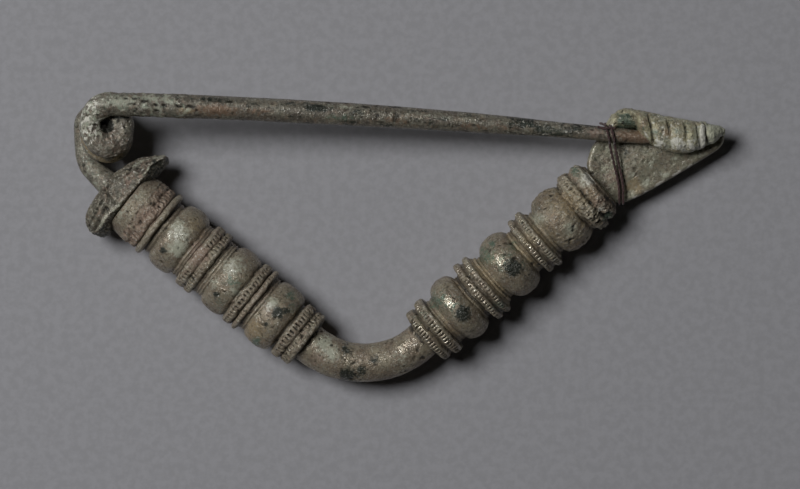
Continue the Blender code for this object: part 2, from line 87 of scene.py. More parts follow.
LEFT_ARM = (
    cone(4.55, 4.5, 3.75, rough=0.1, green=0.12, crust=0.1),
    cone(1.38, 4.68, 4.5, rough=0.3, warm=0.2),
    ring(1.24, 4.68, edge=0.08, warm=0.75, rough=1.15),
    ring(1.24, 4.7, edge=0.16, milling=(40, 0.22, 0.5, 0.3, 1.6), warm=1, rough=1.3),
    plain(0.14, 4.35, warm=0.5),
    ring(0.96, 4.93, warm=0.1, rough=0.6),
    plain(0.95, 3.9, lines=1, warm=0.2),
    bead(4.13, 4.95, 3.75, crust=0.2, rough=0.2, shine=0.7),
    plain(0.96, 4.1, lines=2, warm=0.4),
    ring(1.51, 4.95, milling=(46, 0.3, 0.6, 0.12, 1), warm=0.5, rough=0.4),
    ring(1.24, 4.93, milling=(46, 0.32, 0.42, 0.22, 0.75), warm=0.1, rough=0.35),
    plain(1.38, 4.1, lines=3, warm=0.3),
    bead(4.13, 4.95, 3.75, rough=0.1, shine=0.6),
    ring(1.51, 4.95, milling=(48, 0.34, 0.6, 0.14, 0.15), warm=0.35, rough=0.35),
    plain(0.14, 4.35),
    ring(0.83, 4.93, milling=(50, 0.26, 0.45, 0.18, 0.9), warm=0.5, rough=0.4),
    plain(0.83, 4.1, lines=2, warm=0.4),
    bead(4.4, 4.84, 3.6, rough=0.35, ochre=0.15, shine=0.6),
    plain(0.41, 3.6),
    ring(1.51, 4.33, milling=(42, 0.4, 0.55, 0.2, 0), warm=0.3, rough=0.5),
    ring(1.65, 4.1, milling=(40, 0.26, 0.35, 0.14, 0.6), warm=0.3, rough=1.2),
    plain(0.56, 2.75),
)
RIGHT_ARM = (
    plain(0.8, 2.57),
    ring(1.51, 4.13, milling=(50, 0.36, 0.36, 0.2, 0), rough=0.25, green=0.25, shine=1),
    plain(0.28, 3.8),
    ring(1.51, 4.54, milling=(52, 0.36, 0.36, 0.22, 0), rough=0.25, green=0.15, shine=1),
    plain(1.1, 3.5, lines=2, ochre=0.5),
    bead(3.99, 4.86, 3.35, rough=0.3, shine=0.5),
    plain(0.85, 3.35, lines=2, ochre=0.4),
    ring(1.1, 4.82, milling=(54, 0.34, 0.4, 0.22, 0.25), crust=0.15, rough=0.3, shine=1),
    plain(0.41, 4.35),
    ring(0.96, 4.82, milling=(56, 0.28, 0.45, 0.24, 0.45), crust=0.25, rough=0.35, shine=1),
    flare(0.83, 3.65, 4.15, lines=2, ochre=0.9, rough=0.3),
    plain(0.55, 3.35, lines=1, ochre=0.7, rough=0.2),
    bead(4.82, 4.79, 3.15, rough=0.45, ochre=0.22, shine=0.45),
    plain(0.97, 3.35, lines=2, ochre=0.7),
    ring(0.96, 4.54, milling=(54, 0.28, 0.45, 0.24, 0.4), crust=0.32, rough=0.4, shine=1),
    plain(0.41, 4.18),
    ring(1.1, 4.61, milling=(54, 0.3, 0.45, 0.22, 0.4), crust=0.36, rough=0.45, shine=1),
    flare(0.55, 3.5, 3.95, lines=1, ochre=0.5),
    plain(0.62, 3.35, lines=1, ochre=0.5),
    bead(4.95, 4.64, 3.2, rough=0.9, ochre=0.45, shine=0.15),
    plain(0.41, 3.95, rough=1.2, ochre=0.3),
    ring(1.7, 4.56, milling=(44, 0.2, 0.5, 0.24, 1.3), rough=2, ochre=0.4, crust=0.35),
    plain(0.25, 4.05, rough=1.5),
    ring(1.58, 4.36, rough=1.8, crust=0.15, warm=0.75),
    flare(0.74, 3.25, 4.2, rough=1.2, warm=0.5),
)
# Patches of each tint, as (place along the arm, place across it towards the pin, reach, strength).
LEFT_PATCHES = {
    "crust": (
        (4.4, -1.8, 1.7, 0.45), (5, 1.2, 1.4, 0.4), (11.5, 1.3, 1.2, 0.62), (13.2, -0.8, 1.2, 0.95),
        (20.9, 1.7, 1.9, 0.75), (22.9, -0.6, 1.1, 0.7), (19.9, -1.6, 1.1, 0.55), (12.2, 0.9, 1.5, 0.62),
        (28, 1.2, 0.9, 0.9),
    ),
    "warm": ((8, 0, 1, 0.9), (16.2, 0.2, 1.2, 1)),
    "dark": (
        (11.9, -2.4, 0.6, 0.9), (21.3, -2.6, 0.55, 1), (28.6, 2.9, 1, 0.35), (29.5, 0.7, 0.85, 1.3),
        (30.2, 1.6, 0.6, 0.9), (29.2, -1.6, 0.5, 0.8),
    ),
    "ochre": ((13.2, 3, 1.6, 0.7), (28.4, -3.2, 1.5, 0.8)),
    "white": (
        (16.6, -4, 0.9, 0.4), (20.7, 1.5, 1.1, 0.5), (12, 0.8, 1.4, 0.5), (27.9, 0.6, 0.9, 0.55),
    ),
    "polish": ((11.9, 0.7, 1.2, 0.8),),
    "green": (
        (21.9, 0.2, 1.1, 0.6), (22.4, -3.4, 1.2, 0.4), (30.6, 2.6, 1.4, 0.5), (29.4, 3.6, 0.8, 0.7),
        (29.6, -4.3, 0.7, 0.9),
    ),
}
RIGHT_PATCHES = {
    "dark": (
        (7.3, -0.9, 1.15, 1.3), (16.6, -0.7, 1.25, 1.3), (24.2, 3.2, 2, 0.42), (6.1, -3.2, 1.3, 0.32),
        (17.6, -3, 1.5, 0.38),
    ),
    "green": (
        (6.7, 2.7, 0.7, 0.75), (16.5, 3.7, 0.6, 0.9), (17.9, -1.3, 0.8, 0.5), (31.6, 3.8, 0.8, 0.8),
        (31, -3.8, 0.8, 1), (11.8, -3.4, 1.2, 0.6), (3, 2.8, 0.9, 0.3), (5.6, 2.6, 1.5, 0.72),
        (6.9, 0.8, 1.9, 0.5), (14.8, 3, 1.7, 0.7), (16.2, 0.7, 2, 0.5), (18.4, 1.6, 1.3, 0.52),
    ),
    "polish": ((6.9, 1.4, 1.2, 1.15), (15.8, 1.3, 1.2, 0.95), (32.7, 1.8, 0.7, 0.9)),
    "ochre": (
        (14.9, 2.6, 1.2, 0.5), (28.6, 1.2, 1.6, 0.55), (20.7, 0.8, 1.7, 0.65), (31.2, 0.2, 1.6, 0.6),
    ),
    "warm": ((25.4, 0.6, 1.4, 0.5), (33.6, 0, 1, 0.9)),
    "crust": ((23.6, 2.2, 1.2, 0.7), (26, -1.8, 1.2, 0.7), (32.2, 2.2, 1.3, 0.8)),
    "white": ((32.7, 1.8, 0.9, 1.7), (31, -2.4, 0.5, 0.8), (32.6, 1.6, 0.9, 0.5)),
}
ELBOW_PATCHES = {
    "crust": ((1.6, 1.2, 1.5, 0.9), (3, 0.6, 1.4, 0.8), (12.8, -0.4, 1.8, 0.4)),
    "warm": ((2.2, -1, 1.3, 0.6),),
    "dark": ((6, -1.9, 1.2, 1.1), (7.6, -1.2, 0.9, 0.9), (9.4, 0.4, 0.8, 0.8), (5.2, 1.7, 1.2, 0.7)),
    "polish": ((14, 0.9, 1.2, 1.3),),
}
TINTS = ("dark", "green", "crust", "white", "warm", "ochre", "rust")
LEFT_BARREL = 2.3  # the beads' curve: 2 is an ellipse, more is a barrel
RIGHT_BARREL = 2
STEP_FINE = 0.115  # along the milled rings
STEP_COARSE = 0.2  # along the beads
FILLET = 0.17
ARM_SIDES = 300
ELBOW_ROWS, ELBOW_SIDES = 180, 190
INSIDE_HEAD = 3.7  # as much of the left arm as the crossbar hides
RING_TILT = 0.3  # the crowns of the right arm's rings lean towards the elbow


# ---- noise and shapes of falling off ----

RANDOM = np.random.RandomState(11)
SHUFFLE = RANDOM.permutation(256)
SLOPES = RANDOM.normal(size=(256, 3))
SLOPES /= np.linalg.norm(SLOPES, axis=1)[:, None]


def noise(points, size, salt=0):
    """Smooth noise from about -1 to 1 at each point, with features of this size in millimetres."""
    spots = points / size + salt * 13.7
    cell = np.floor(spots).astype(int)
    inside = spots - cell
    ease = inside**3 * (inside * (inside * 6 - 15) + 10)
    total = np.zeros(points.shape[:-1])
    for corner in itertools.product((0, 1), repeat=3):
        at = cell + corner
        picked = SHUFFLE[(SHUFFLE[(SHUFFLE[at[..., 0] & 255] + at[..., 1]) & 255] + at[..., 2]) & 255]
        weight = np.prod(np.where(corner, ease, 1 - ease), axis=-1)
        total += weight * np.sum(SLOPES[picked] * (inside - corner), axis=-1)
    return total * 1.6


def ramp(values, low, high):
    """0 below low, 1 above high, and smooth between."""
    share = np.clip((values - low) / (high - low), 0, 1)
    return share * share * (3 - 2 * share)


def between(values, low, full, fading, high):
    """0 outside low and high, 1 from full to fading, and smooth between."""
    return ramp(values, low, full) * ramp(-values, -high, -fading)


def hump(values, middle, reach):
    """1 at the middle, fading on both sides of it."""
    return np.exp(-(((values - middle) / reach) ** 2))


def blot(x, y, at_x, at_y, spread):
    """1 at a place, fading all round it."""
    return np.exp(-((x - at_x) ** 2 + (y - at_y) ** 2) / spread)


def patchy(points, size, salt, low, high):
    """0 in some places and 1 in others, in patches of about this size."""
    return ramp(noise(points, size, salt), low, high)


def table_at(table, places):
    """The second column of a table, between its rows, at places in its first."""
    return np.interp(places, *np.array(table).T)


def points_at(x, y, z):
    return np.stack(np.broadcast_arrays(x, y, z), -1)


def blank_layers(shape):
    return {layer: np.zeros(shape) for layer in (*TINTS, "polish")}


def at_least(layers, tint, values):
    layers[tint] = np.maximum(layers[tint], values)


def weathered(points, rough=0, salt=0):
    """Surface height from wear and corrosion, with lumps where it is rough, and where the pits are."""
    height = 0.05 * noise(points, 2.6, salt) + 0.03 * noise(points, 1.1, salt + 1)
    height += 0.018 * noise(points, 0.48, salt + 2)
    pits = patchy(points, 0.62, salt + 3, 0.36, 0.62) * patchy(points, 3.4, salt + 4, -0.3, 0.3)
    height -= (0.09 + 0.05 * rough) * pits
    grain = np.abs(noise(points, 0.55, salt + 5)) + 0.6 * np.abs(noise(points, 0.3, salt + 6))
    height += rough * 0.17 * (grain - 0.35)
    height += rough * 0.11 * noise(points, 0.95, salt + 7)
    return height, pits


# ---- meshes ----

def placed(name, data):
    made = bpy.data.objects.new(name, data)
    bpy.context.scene.collection.objects.link(made)
    return made


def circle(sides):
    """Angles evenly round a turn."""
    return 2 * math.pi * np.arange(sides) / sides


def spokes(turn, side, up):
    """The ways out from an axis at each angle, from two ways across it."""
    return np.cos(turn)[:, None] * side[..., None, :] + np.sin(turn)[:, None] * up[..., None, :]


def grid_faces(rows, columns):
    """Quads of a tube, closed round and capped at both ends, with each cap's middle after the grid."""
    faces = []
    first, last = rows * columns, rows * columns + 1
    for row in range(rows - 1):
        here = row * columns
        for column in range(columns):
            beside = (column + 1) % columns
            faces.append((here + column, here + beside, here + columns + beside, here + columns + column))
    top = (rows - 1) * columns
    for column in range(columns):
        beside = (column + 1) % columns
        faces += [(first, beside, column), (last, top + column, top + beside)]
    return faces


def with_caps(grid):
    """The grid's points with the middle of each end after them."""
    return np.concatenate([grid.reshape(-1, grid.shape[-1]), grid[:1].mean(1), grid[-1:].mean(1)])


def shell(name, grid, layers, material):
    """A closed, smooth piece of the brooch.

    grid is rows by columns by 3, in millimetres, and each float layer is rows by columns.
    """
    mesh = bpy.data.meshes.new(name)
    mesh.from_pydata((with_caps(grid) * MM).tolist(), [], grid_faces(*grid.shape[:2]))
    mesh.update()
    for layer, values in layers.items():
        attribute = mesh.attributes.new(layer, "FLOAT", "POINT")
        attribute.data.foreach_set("value", with_caps(values[..., None]).astype(np.float32).ravel())
    mesh.shade_smooth()
    mesh.materials.append(material)
    piece = placed(name, mesh)
    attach(piece, "root")
    return piece


def grown(grid, height):
    """The grid pushed out along its own normals by a height in millimetres."""
    along = np.gradient(grid, axis=0)
    around = np.roll(grid, -1, axis=1) - np.roll(grid, 1, axis=1)
    normal = np.cross(around, along)
    length = np.linalg.norm(normal, axis=-1, keepdims=True)
    normal = normal / np.maximum(length, 1e-9)
    outward = np.sum(normal * (grid - grid.mean(axis=1, keepdims=True)), axis=-1, keepdims=True)
    normal = normal * np.where(outward.mean() < 0, -1, 1)
    return grid + normal * height[..., None]


# ---- materials ----

class Nodes:
    """A short way to write a material's nodes."""

    def __init__(self, name):
        self.material = bpy.data.materials.new(name)
        self.material.use_nodes = True
        self.tree = self.material.node_tree
        self.shader = self.tree.nodes["Principled BSDF"]
        self.place = self.node("ShaderNodeTexCoord", {})["Object"]

    def plug(self, values, sockets):
        for name, value in values.items():
            if hasattr(value, "is_output"):
                self.tree.links.new(value, sockets[name])
            else:
                sockets[name].default_value = value

    def surface(self, values):
        self.plug(values, self.shader.inputs)

    def node(self, kind, inputs, **settings):
        """A new node's outputs, once its settings are made and its inputs are plugged in."""
        made = self.tree.nodes.new(kind)
        for setting, value in settings.items():
            setattr(made, setting, value)
        self.plug(inputs, made.inputs)
        return made.outputs

    def noise(self, size, detail=3, roughness=0.55, distortion=0):
        """Noise with features of this size in millimetres."""
        inputs = {"Vector": self.place, "Scale": 1 / (size * MM)}
        inputs |= {"Detail": detail, "Roughness": roughness, "Distortion": distortion}
        return self.node("ShaderNodeTexNoise", inputs)["Fac"]

    def layer(self, name):
        return self.node("ShaderNodeAttribute", {}, attribute_name=name)["Fac"]

    def fit(self, value, low, high, to_low=0, to_high=1):
        limits = {"From Min": low, "From Max": high, "To Min": to_low, "To Max": to_high}
        return self.node("ShaderNodeMapRange", {"Value": value, **limits})["Result"]

    def sums(self, operation, first, second):
        return self.node("ShaderNodeMath", {0: first, 1: second}, operation=operation)[0]

    def mix(self, share, first, second):
        first, second = (value if hasattr(value, "is_output") else (*value, 1) for value in (first, second))
        return self.node("ShaderNodeMix", {"Factor": share, 6: first, 7: second}, data_type="RGBA")[2]

    def bump(self, height, distance, strength=1):
        inputs = {"Distance": distance * MM, "Strength": strength, "Height": height}
        self.surface({"Normal": self.node("ShaderNodeBump", inputs)["Normal"]})


# Each layer's colour and how much of it shows at most, from the undermost to the uppermost.
TINT_COLOURS = {
    "warm": ((0.4, 0.28, 0.215), 0.7),
    "ochre": ((0.52, 0.405, 0.24), 0.7),
    "rust": ((0.285, 0.18, 0.115), 0.75),
    "crust": ((0.59, 0.61, 0.48), 0.8),
    "green": ((0.13, 0.21, 0.15), 0.85),
    "dark": ((0.028, 0.036, 0.028), 0.94),
    "white": ((0.97, 0.95, 0.83), 0.95),
}
RUDDY = (0.4, 0.3, 0.215)
SPECKLE = (0.075, 0.07, 0.054)
PALE = (0.6, 0.57, 0.43)
# pale colour of rubbed crests, used also as a painted highlight on raised rings and edges
RUBBED_AND_LIT_CREST = (0.64, 0.59, 0.47)
# white flecks painted as glints on raised parts
PAINTED_GLINT = (0.9, 0.885, 0.8)
# near black for deep places: painted shade in notches, grooves, scores and hollows, and dark corrosion in
# pits
DARK_PITS_AND_SHADE = (0.02, 0.018, 0.014)


def patina(name, olive, brown, gloss=0.35, relief=0.085, speckled=0.74):
    """Patinated bronze. The layers say where it is each tint, and where it is deep, raised or polished."""
    n = Nodes(name)
    depth, polish, crust, white = (n.layer(layer) for layer in ("depth", "polish", "crust", "white"))
    colour = n.mix(n.fit(n.noise(2.2), 0.38, 0.62), olive, brown)
    colour = n.mix(n.fit(n.noise(0.85, 4, 0.65), 0.5, 0.66, 0, 0.5), colour, RUDDY)
    colour = n.mix(n.fit(n.noise(0.36, 4, 0.72, 0.2), 0.515, 0.64, 0, speckled), colour, SPECKLE)
    colour = n.mix(n.fit(n.noise(0.5, 4, 0.7, 0.3), 0.55, 0.66, 0, 0.5), colour, PALE)
    fleck = n.fit(n.noise(0.26, 3, 0.75), 0.57, 0.645)
    ragged = n.fit(n.noise(0.55, 5, 0.75, 0.4), 0.3, 0.7, -0.5, 0.5)
    # The crust, dark and white layers also carry painted highlight and painted shade in some places.
    for tint, (shade, strength) in TINT_COLOURS.items():
        share = n.fit(n.sums("ADD", n.layer(tint), ragged), 0.3, 0.75, 0, strength)
        colour = n.mix(n.sums("MULTIPLY", share, n.fit(n.layer(tint), 0.02, 0.2)), colour, shade)
    # Raised places are painted lighter, partly rubbed wear and partly painted highlight, with white flecks as
    # painted glints; deep places are painted dark, as painted shade and dark pits.
    crest = n.sums("MULTIPLY", n.fit(depth, 0.08, 0.5), n.fit(n.noise(0.6, 4, 0.7), 0.42, 0.6))
    colour = n.mix(n.sums("MULTIPLY", crest, 0.5), colour, RUBBED_AND_LIT_CREST)
    colour = n.mix(n.sums("MULTIPLY", fleck, n.fit(depth, -0.3, 0.2, 0, 0.75)), colour, PAINTED_GLINT)
    colour = n.mix(n.fit(depth, 0, -1, 0, 0.95), colour, DARK_PITS_AND_SHADE)
    rough = n.fit(n.noise(0.7, 4, 0.6), 0.35, 0.66, gloss - 0.1, gloss + 0.22)
    rough = n.sums("SUBTRACT", rough, n.fit(polish, 0, 1, 0, 0.23))
    rough = n.sums("ADD", rough, n.fit(n.layer("warm"), 0, 1, 0, 0.15))
    rough = n.sums("SUBTRACT", rough, n.sums("MULTIPLY", fleck, 0.18))
    rough = n.sums("SUBTRACT", rough, n.fit(white, 0.4, 1, 0, 0.12))
    metal = n.fit(polish, 0, 1, 0.24, 0.32)
    metal = n.sums("SUBTRACT", metal, n.fit(n.sums("ADD", crust, ragged), 0.2, 0.9, 0, 0.3))
    metal = n.sums("SUBTRACT", metal, n.fit(white, 0.1, 0.8, 0, 0.5))
    glint = n.sums("MULTIPLY", fleck, n.fit(polish, 0.2, 0.7, 0, 0.9))
    metal = n.sums("MAXIMUM", n.sums("MAXIMUM", metal, 0), glint)
    n.surface({"Base Color": colour, "Roughness": rough, "Metallic": metal})
    grain = n.sums("ADD", n.noise(0.14, 3, 0.6), n.sums("MULTIPLY", n.noise(0.5, 3, 0.6), 1.6))
    n.bump(grain, relief, n.fit(polish, 0.2, 1.2, 1, 0.3))
    return n.material


BOW_BRONZE = patina("bow_patina", (0.385, 0.335, 0.24), (0.3, 0.24, 0.175))
HEAD_BRONZE = patina("head_patina", (0.19, 0.178, 0.134), (0.112, 0.098, 0.074), relief=0.06, speckled=0.5)
HAND_BRONZE = patina("hand_patina", (0.69, 0.665, 0.44), (0.48, 0.43, 0.275))
PLATE_BRONZE = patina("plate_patina", (0.37, 0.362, 0.262), (0.285, 0.25, 0.185), relief=0.045)
PIN_BRONZE = patina("pin_patina", (0.27, 0.255, 0.2), (0.185, 0.16, 0.128), gloss=0.34)


# ---- the bow's centreline, as in the CAD ----

LEFT_LENGTH, RIGHT_LENGTH = (sum(form["width"] for form in forms) for forms in (LEFT_ARM, RIGHT_ARM))
ELBOW_TURN = RIGHT_HEADING - LEFT_HEADING
ELBOW_LENGTH = ELBOW_RADIUS * ELBOW_TURN
ELBOW_TANGENT = ELBOW_RADIUS * math.tan(ELBOW_TURN / 2)
BOW_LENGTH = LEFT_LENGTH + ELBOW_LENGTH + RIGHT_LENGTH


def heading(angle):
    return np.array([math.cos(angle), math.sin(angle), 0])


def leftward(angle):
    return np.array([-math.sin(angle), math.cos(angle), 0])


def bow_frame(place):
    """A point of the bow's centreline from the apex, with its way along and its way to the left."""
    height = HEAD_AXIS_HEIGHT + (CATCH_AXIS_HEIGHT - HEAD_AXIS_HEIGHT) * place / BOW_LENGTH
    left_end = -heading(LEFT_HEADING) * ELBOW_TANGENT
    if place <= LEFT_LENGTH:
        angle = LEFT_HEADING
        point = left_end - heading(angle) * (LEFT_LENGTH - place)
    elif place <= LEFT_LENGTH + ELBOW_LENGTH:
        angle = LEFT_HEADING + (place - LEFT_LENGTH) / ELBOW_RADIUS
        centre = left_end + leftward(LEFT_HEADING) * ELBOW_RADIUS
        point = centre - leftward(angle) * ELBOW_RADIUS
    else:
        angle = RIGHT_HEADING
        point = heading(angle) * (ELBOW_TANGENT + place - LEFT_LENGTH - ELBOW_LENGTH)
    return point + UP * height, heading(angle), leftward(angle)


COIL = bow_frame(0)[0] * FLAT + np.array([*COIL_CENTRE, 0])
CATCH = bow_frame(BOW_LENGTH)[0] * FLAT
# The apex in the row frame, from the CAD boxes of the wire and of the bow.
PIN_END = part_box("pin_and_spring")[1].x / MM
BOW_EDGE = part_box("bow")[0].y / MM
APEX = np.array([PIN_END - PIN_END_REACH - COIL[0], BOW_EDGE - ELBOW_LOW, 0])


# ---- the turned arms ----

def turned_profile(mouldings, barrel):
    """For each station of an arm: its place, radius, which moulding it is in, and how far through it."""
    places, radii, forms, shares = [], [], [], []
    start = 0
    for index, form in enumerate(mouldings):
        kind, radius, low = form["kind"], form["radius"], form["start"]
        count = max(3, int(round(form["width"] / (STEP_COARSE if kind == "bead" else STEP_FINE))))
        share = (np.arange(count) + 0.5) / count
        across = np.abs(2 * share - 1)
        radius = {
            "bead": low + (radius - low) * (1 - across**barrel) ** (1 / barrel),
            "ring": radius - form["edge"] * across**4,
            "cone": low + (radius - low) * share,
            "flare": low + (radius - low) * (1 - (1 - share) ** 2),
            "plain": np.full(count, radius),
        }[kind]
        if form["lines"]:
            radius = radius + FILLET * np.sin(math.pi * form["lines"] * share) ** 2
        places.append(start + share * form["width"])
        radii.append(radius)
        forms += [index] * count
        shares.append(share)
        start += form["width"]
    return np.concatenate(places), np.concatenate(radii), np.array(forms), np.concatenate(shares)


def finish_of(mouldings, forms, key):
    return np.array([form.get(key, 0) for form in mouldings])[forms]


def milled(mouldings, forms, shares, turn, points):
    """How deep the notches of the rings go, in millimetres, at each station and side."""
    milling = np.array([form["milling"] for form in mouldings])
    cuts, depth, middle, half, worn = np.moveaxis(milling[forms], -1, 0)
    from_middle = np.abs(shares - (middle + 0.07 * noise(points, 1.6, 26)))
    inside = ramp(half + 0.1 - from_middle, 0, 0.16)
    wander = 1.3 * noise(points, 2.4, 21) + 0.5 * noise(points, 0.8, 24)
    wave = np.cos(cuts * turn + wander + forms * 1.7) + 0.15 * noise(points, 1, 25)
    rubbed = noise(points, 3.1, 22) - 0.9 * np.sin(2 * turn) ** 2 + 0.7 * np.sin(turn)
    kept = 1 - worn * ramp(rubbed, -0.35, 0.35)
    uneven = 0.55 + 0.75 * patchy(points, 0.9, 23, -0.5, 0.5)
    return depth * ramp(wave, 0.28, 0.78) * inside * kept * uneven * (cuts > 0)


def patch_layers(patches, along, across, up):
    """Each tint's strength from its patches, on the upper side of the arm."""
    layers = blank_layers(np.broadcast_shapes(along.shape, across.shape))
    for tint, spots in patches.items():
        for place, side, reach, strength in spots:
            at_least(layers, tint, strength * blot(along, across, place, side, reach**2) * (up > -0.5))
    return layers


def smoothed_along(values, places, width):
    """A running mean along an arm, with stations that aren't evenly spaced."""
    return np.array([values[np.abs(places - place) < width / 2].mean() for place in places])


def arm(name, mouldings, start, patches, barrel, salt, tilt=0, first=0):
    """A turned arm that starts at a place on the bow, with its notches, chips, wear and patches."""
    stations = turned_profile(mouldings, barrel)
    places, radii, forms, shares = (values[stations[0] >= first] for values in stations)
    turn = circle(ARM_SIDES)
    centre = np.array([bow_frame(start + place)[0] for place in places])[:, None, :]
    _, along, aside = bow_frame(start + places[len(places) // 2])
    out = spokes(turn, aside, UP)
    even = centre + out * radii[:, None, None]
    rough = smoothed_along(finish_of(mouldings, forms, "rough"), places, 0.6)[:, None]
    astray = (0.07 + 0.08 * np.clip(rough, 0, 1.2)) * noise(even, 2.3, salt + 11)
    astray += 0.04 * noise(even, 0.9, salt + 12)
    moved = places[:, None] + astray
    index = np.clip(np.searchsorted(places, moved), 0, len(places) - 1)
    forms, shares = forms[index], shares[index]
    out_of_round = 0.008 * np.sin(2 * turn + forms * 1.3) + 0.006 * np.sin(3 * turn + forms * 2.9)
    radius = np.interp(moved, places, radii) * (1 + out_of_round)
    lean = -tilt * np.sin(turn)[:, None] * along
    grid = centre + out * radius[..., None] + lean
    cut = milled(mouldings, forms, shares, turn, grid)
    layers = patch_layers(patches, places[:, None], radius * np.cos(turn), np.sin(turn))
    height, pits = weathered(grid, rough, salt)
    height = height * (1 - 0.75 * np.clip(layers["polish"], 0, 1))
    on_ring = np.array([form["kind"] == "ring" for form in mouldings])[forms]
    chips = on_ring * ramp(np.abs(shares - 0.5), 0.24, 0.44) * patchy(grid, 0.8, salt + 8, 0.05, 0.45)
    size = 1 + (height - cut - 0.2 * chips) / radius
    grid = centre + (grid - centre) * size[..., None]
    for tint in TINTS:
        layers[tint] += finish_of(mouldings, forms, tint) * 0.8
    # Painted shade and light: grooves between mouldings and the milled notches are darkened as painted shade,
    # raised rings and lumps are painted lighter as painted highlight; chips and pits are darker too.
    crest = np.clip(2.2 * (radii - smoothed_along(radii, places, 1.3))[index], -0.9, 0.5)
    lumps = 0.42 * np.clip(height / 0.13, -1, 1) * ramp(rough, 0.5, 1.2)
    layers["depth"] = np.clip(-6 * cut - 0.9 * pits - 0.6 * chips + lumps + crest, -1, 1)
    shine = finish_of(mouldings, forms, "shine")
    at_least(layers, "polish", shine * patchy(grid, 1.9, salt + 9, -0.35, 0.25))
    grid[..., 2] = np.maximum(grid[..., 2], 0)  # the beads' worn flats
    before_end = ramp(places[-1] - places, 0, 0.25)[:, None]  # so that no streaks run across the end face
    layers = {layer: values * before_end for layer, values in layers.items()}
    piece = shell(name, grid + APEX, layers, BOW_BRONZE)
    for face in piece.data.polygons[-2 * ARM_SIDES:]:
        face.use_smooth = False  # the two flat ends
    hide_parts("bow")


def elbow():
    share = np.linspace(-0.03, 1.03, ELBOW_ROWS)
    turn = circle(ELBOW_SIDES)
    rows = []
    for part in share:
        centre, _, aside = bow_frame(LEFT_LENGTH + ELBOW_LENGTH * part)
        radius = ELBOW_THICKNESS[0] + (ELBOW_THICKNESS[1] - ELBOW_THICKNESS[0]) * part
        rows.append(centre + spokes(turn, aside, UP) * radius)
    grid = np.array(rows)
    height, pits = weathered(grid, 0.12, 31)
    grid = grown(grid, height)
    across = ELBOW_THICKNESS[0] * np.cos(turn)
    layers = patch_layers(ELBOW_PATCHES, (share * ELBOW_LENGTH)[:, None], across, np.sin(turn))
    layers["depth"] = -0.9 * pits
    at_least(layers, "polish", 0.6 * patchy(grid, 2, 33, -0.3, 0.3))
    piece = shell("bow_elbow", grid + APEX, layers, BOW_BRONZE)
    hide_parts("bow")


arm("bow_left_arm", LEFT_ARM, 0, LEFT_PATCHES, LEFT_BARREL, salt=1, first=INSIDE_HEAD)
arm(
    "bow_right_arm", RIGHT_ARM, LEFT_LENGTH + ELBOW_LENGTH, RIGHT_PATCHES, RIGHT_BARREL, salt=5,
    tilt=RING_TILT,
)
elbow()

# ---- the head's crossbar ----

# (place across the arm, outer face, inner face, underside, crest, share of the way across to the crest)
CROSSBAR = (
    (-6.75, 2.1, 2.95, 4, 6, 0.55),
    (-6.45, 1.55, 3.75, 3.3, 6.8, 0.58),
    (-5.9, 0.95, 4.4, 2.8, 7.5, 0.6),
    (-3.85, 0.15, 4.1, 2.2, 8.6, 0.72),
    (-1.65, 0, 3.95, 2, 9, 0.84),
    (1.1, 0, 4.05, 2, 9, 0.86),
    (2.75, 0.4, 4.3, 2, 8.9, 0.8),
    (4.15, 0.82, 4.65, 2.1, 8.7, 0.68),
    (5.5, 1.5, 4.75, 2.5, 8.3, 0.57),
    (6.95, 2.85, 4.8, 3.1, 7.6, 0.45),
    (7.6, 3.45, 4.65, 3.8, 6.9, 0.45),
    (7.85, 3.75, 4.3, 4.4, 6.3, 0.5),
)
CROSSBAR_SLOPE = 1.5
CROSSBAR_ROWS, CROSSBAR_SIDES = 165, 210
# Scores in the top of the crossbar: (start, end) as (across the arm, along it), width, depth.
HEAD_SCORES = (
    ((-0.9, 0.2), (-1.5, 2.7), 0.16, 0.18),
    ((-0.2, 0.3), (-2.1, 1.9), 0.14, 0.12),
    ((-6.1, 2.7), (-2.9, 2), 0.22, 0.2),
    ((-2.2, 1), (-6.2, 1.7), 0.15, 0.16),
    ((0.8, 1), (4.9, 2.2), 0.12, 0.12),
    ((1.6, 2), (5.6, 3.4), 0.16, 0.1),
    ((5.4, 3.4), (7, 3.9), 0.22, 0.14),
    ((6.5, 2.7), (6.2, 4.6), 0.16, 0.09),
)


def curve_through(table, places):
    """Smooth values through the rows of a table whose first column is the place."""
    at, *columns = np.array(table).T
    values, slopes = np.array(columns), np.gradient(columns, at, axis=1)
    index = np.clip(np.searchsorted(at, places) - 1, 0, len(at) - 2)
    width = at[index + 1] - at[index]
    t = np.clip((places - at[index]) / width, 0, 1)
    return (
        (2 * t**3 - 3 * t**2 + 1) * values[:, index]
        + (t**3 - 2 * t**2 + t) * width * slopes[:, index]
        + (3 * t**2 - 2 * t**3) * values[:, index + 1]
        + (t**3 - t**2) * width * slopes[:, index + 1]
    )


def evenly(points, count):
    """Points evenly along a path, and its length."""
    reach = np.concatenate([[0], np.cumsum(np.linalg.norm(np.diff(points, axis=0), axis=1))])
    at = np.linspace(0, reach[-1], count)
    return np.stack([np.interp(at, reach, column) for column in points.T], -1), reach[-1]


def rounded_loop(corners, count, softness):
    """Points evenly round closed, softened polygons; corners is polygons by corners by 2."""
    loop = np.array([evenly(np.append(row, row[:1], axis=0), count + 1)[0][:-1] for row in corners])
    for _ in range(softness):
        loop = 0.5 * loop + 0.25 * (np.roll(loop, 1, axis=1) + np.roll(loop, -1, axis=1))
    return loop


def distance_to_line(x, y, start, end):
    """How far a place is from a straight scratch between two places."""
    run = np.array(end) - np.array(start)
    share = ((x - start[0]) * run[0] + (y - start[1]) * run[1]) / (run @ run)
    share = np.clip(share, 0, 1)
    return np.hypot(x - start[0] - run[0] * share, y - start[1] - run[1] * share)


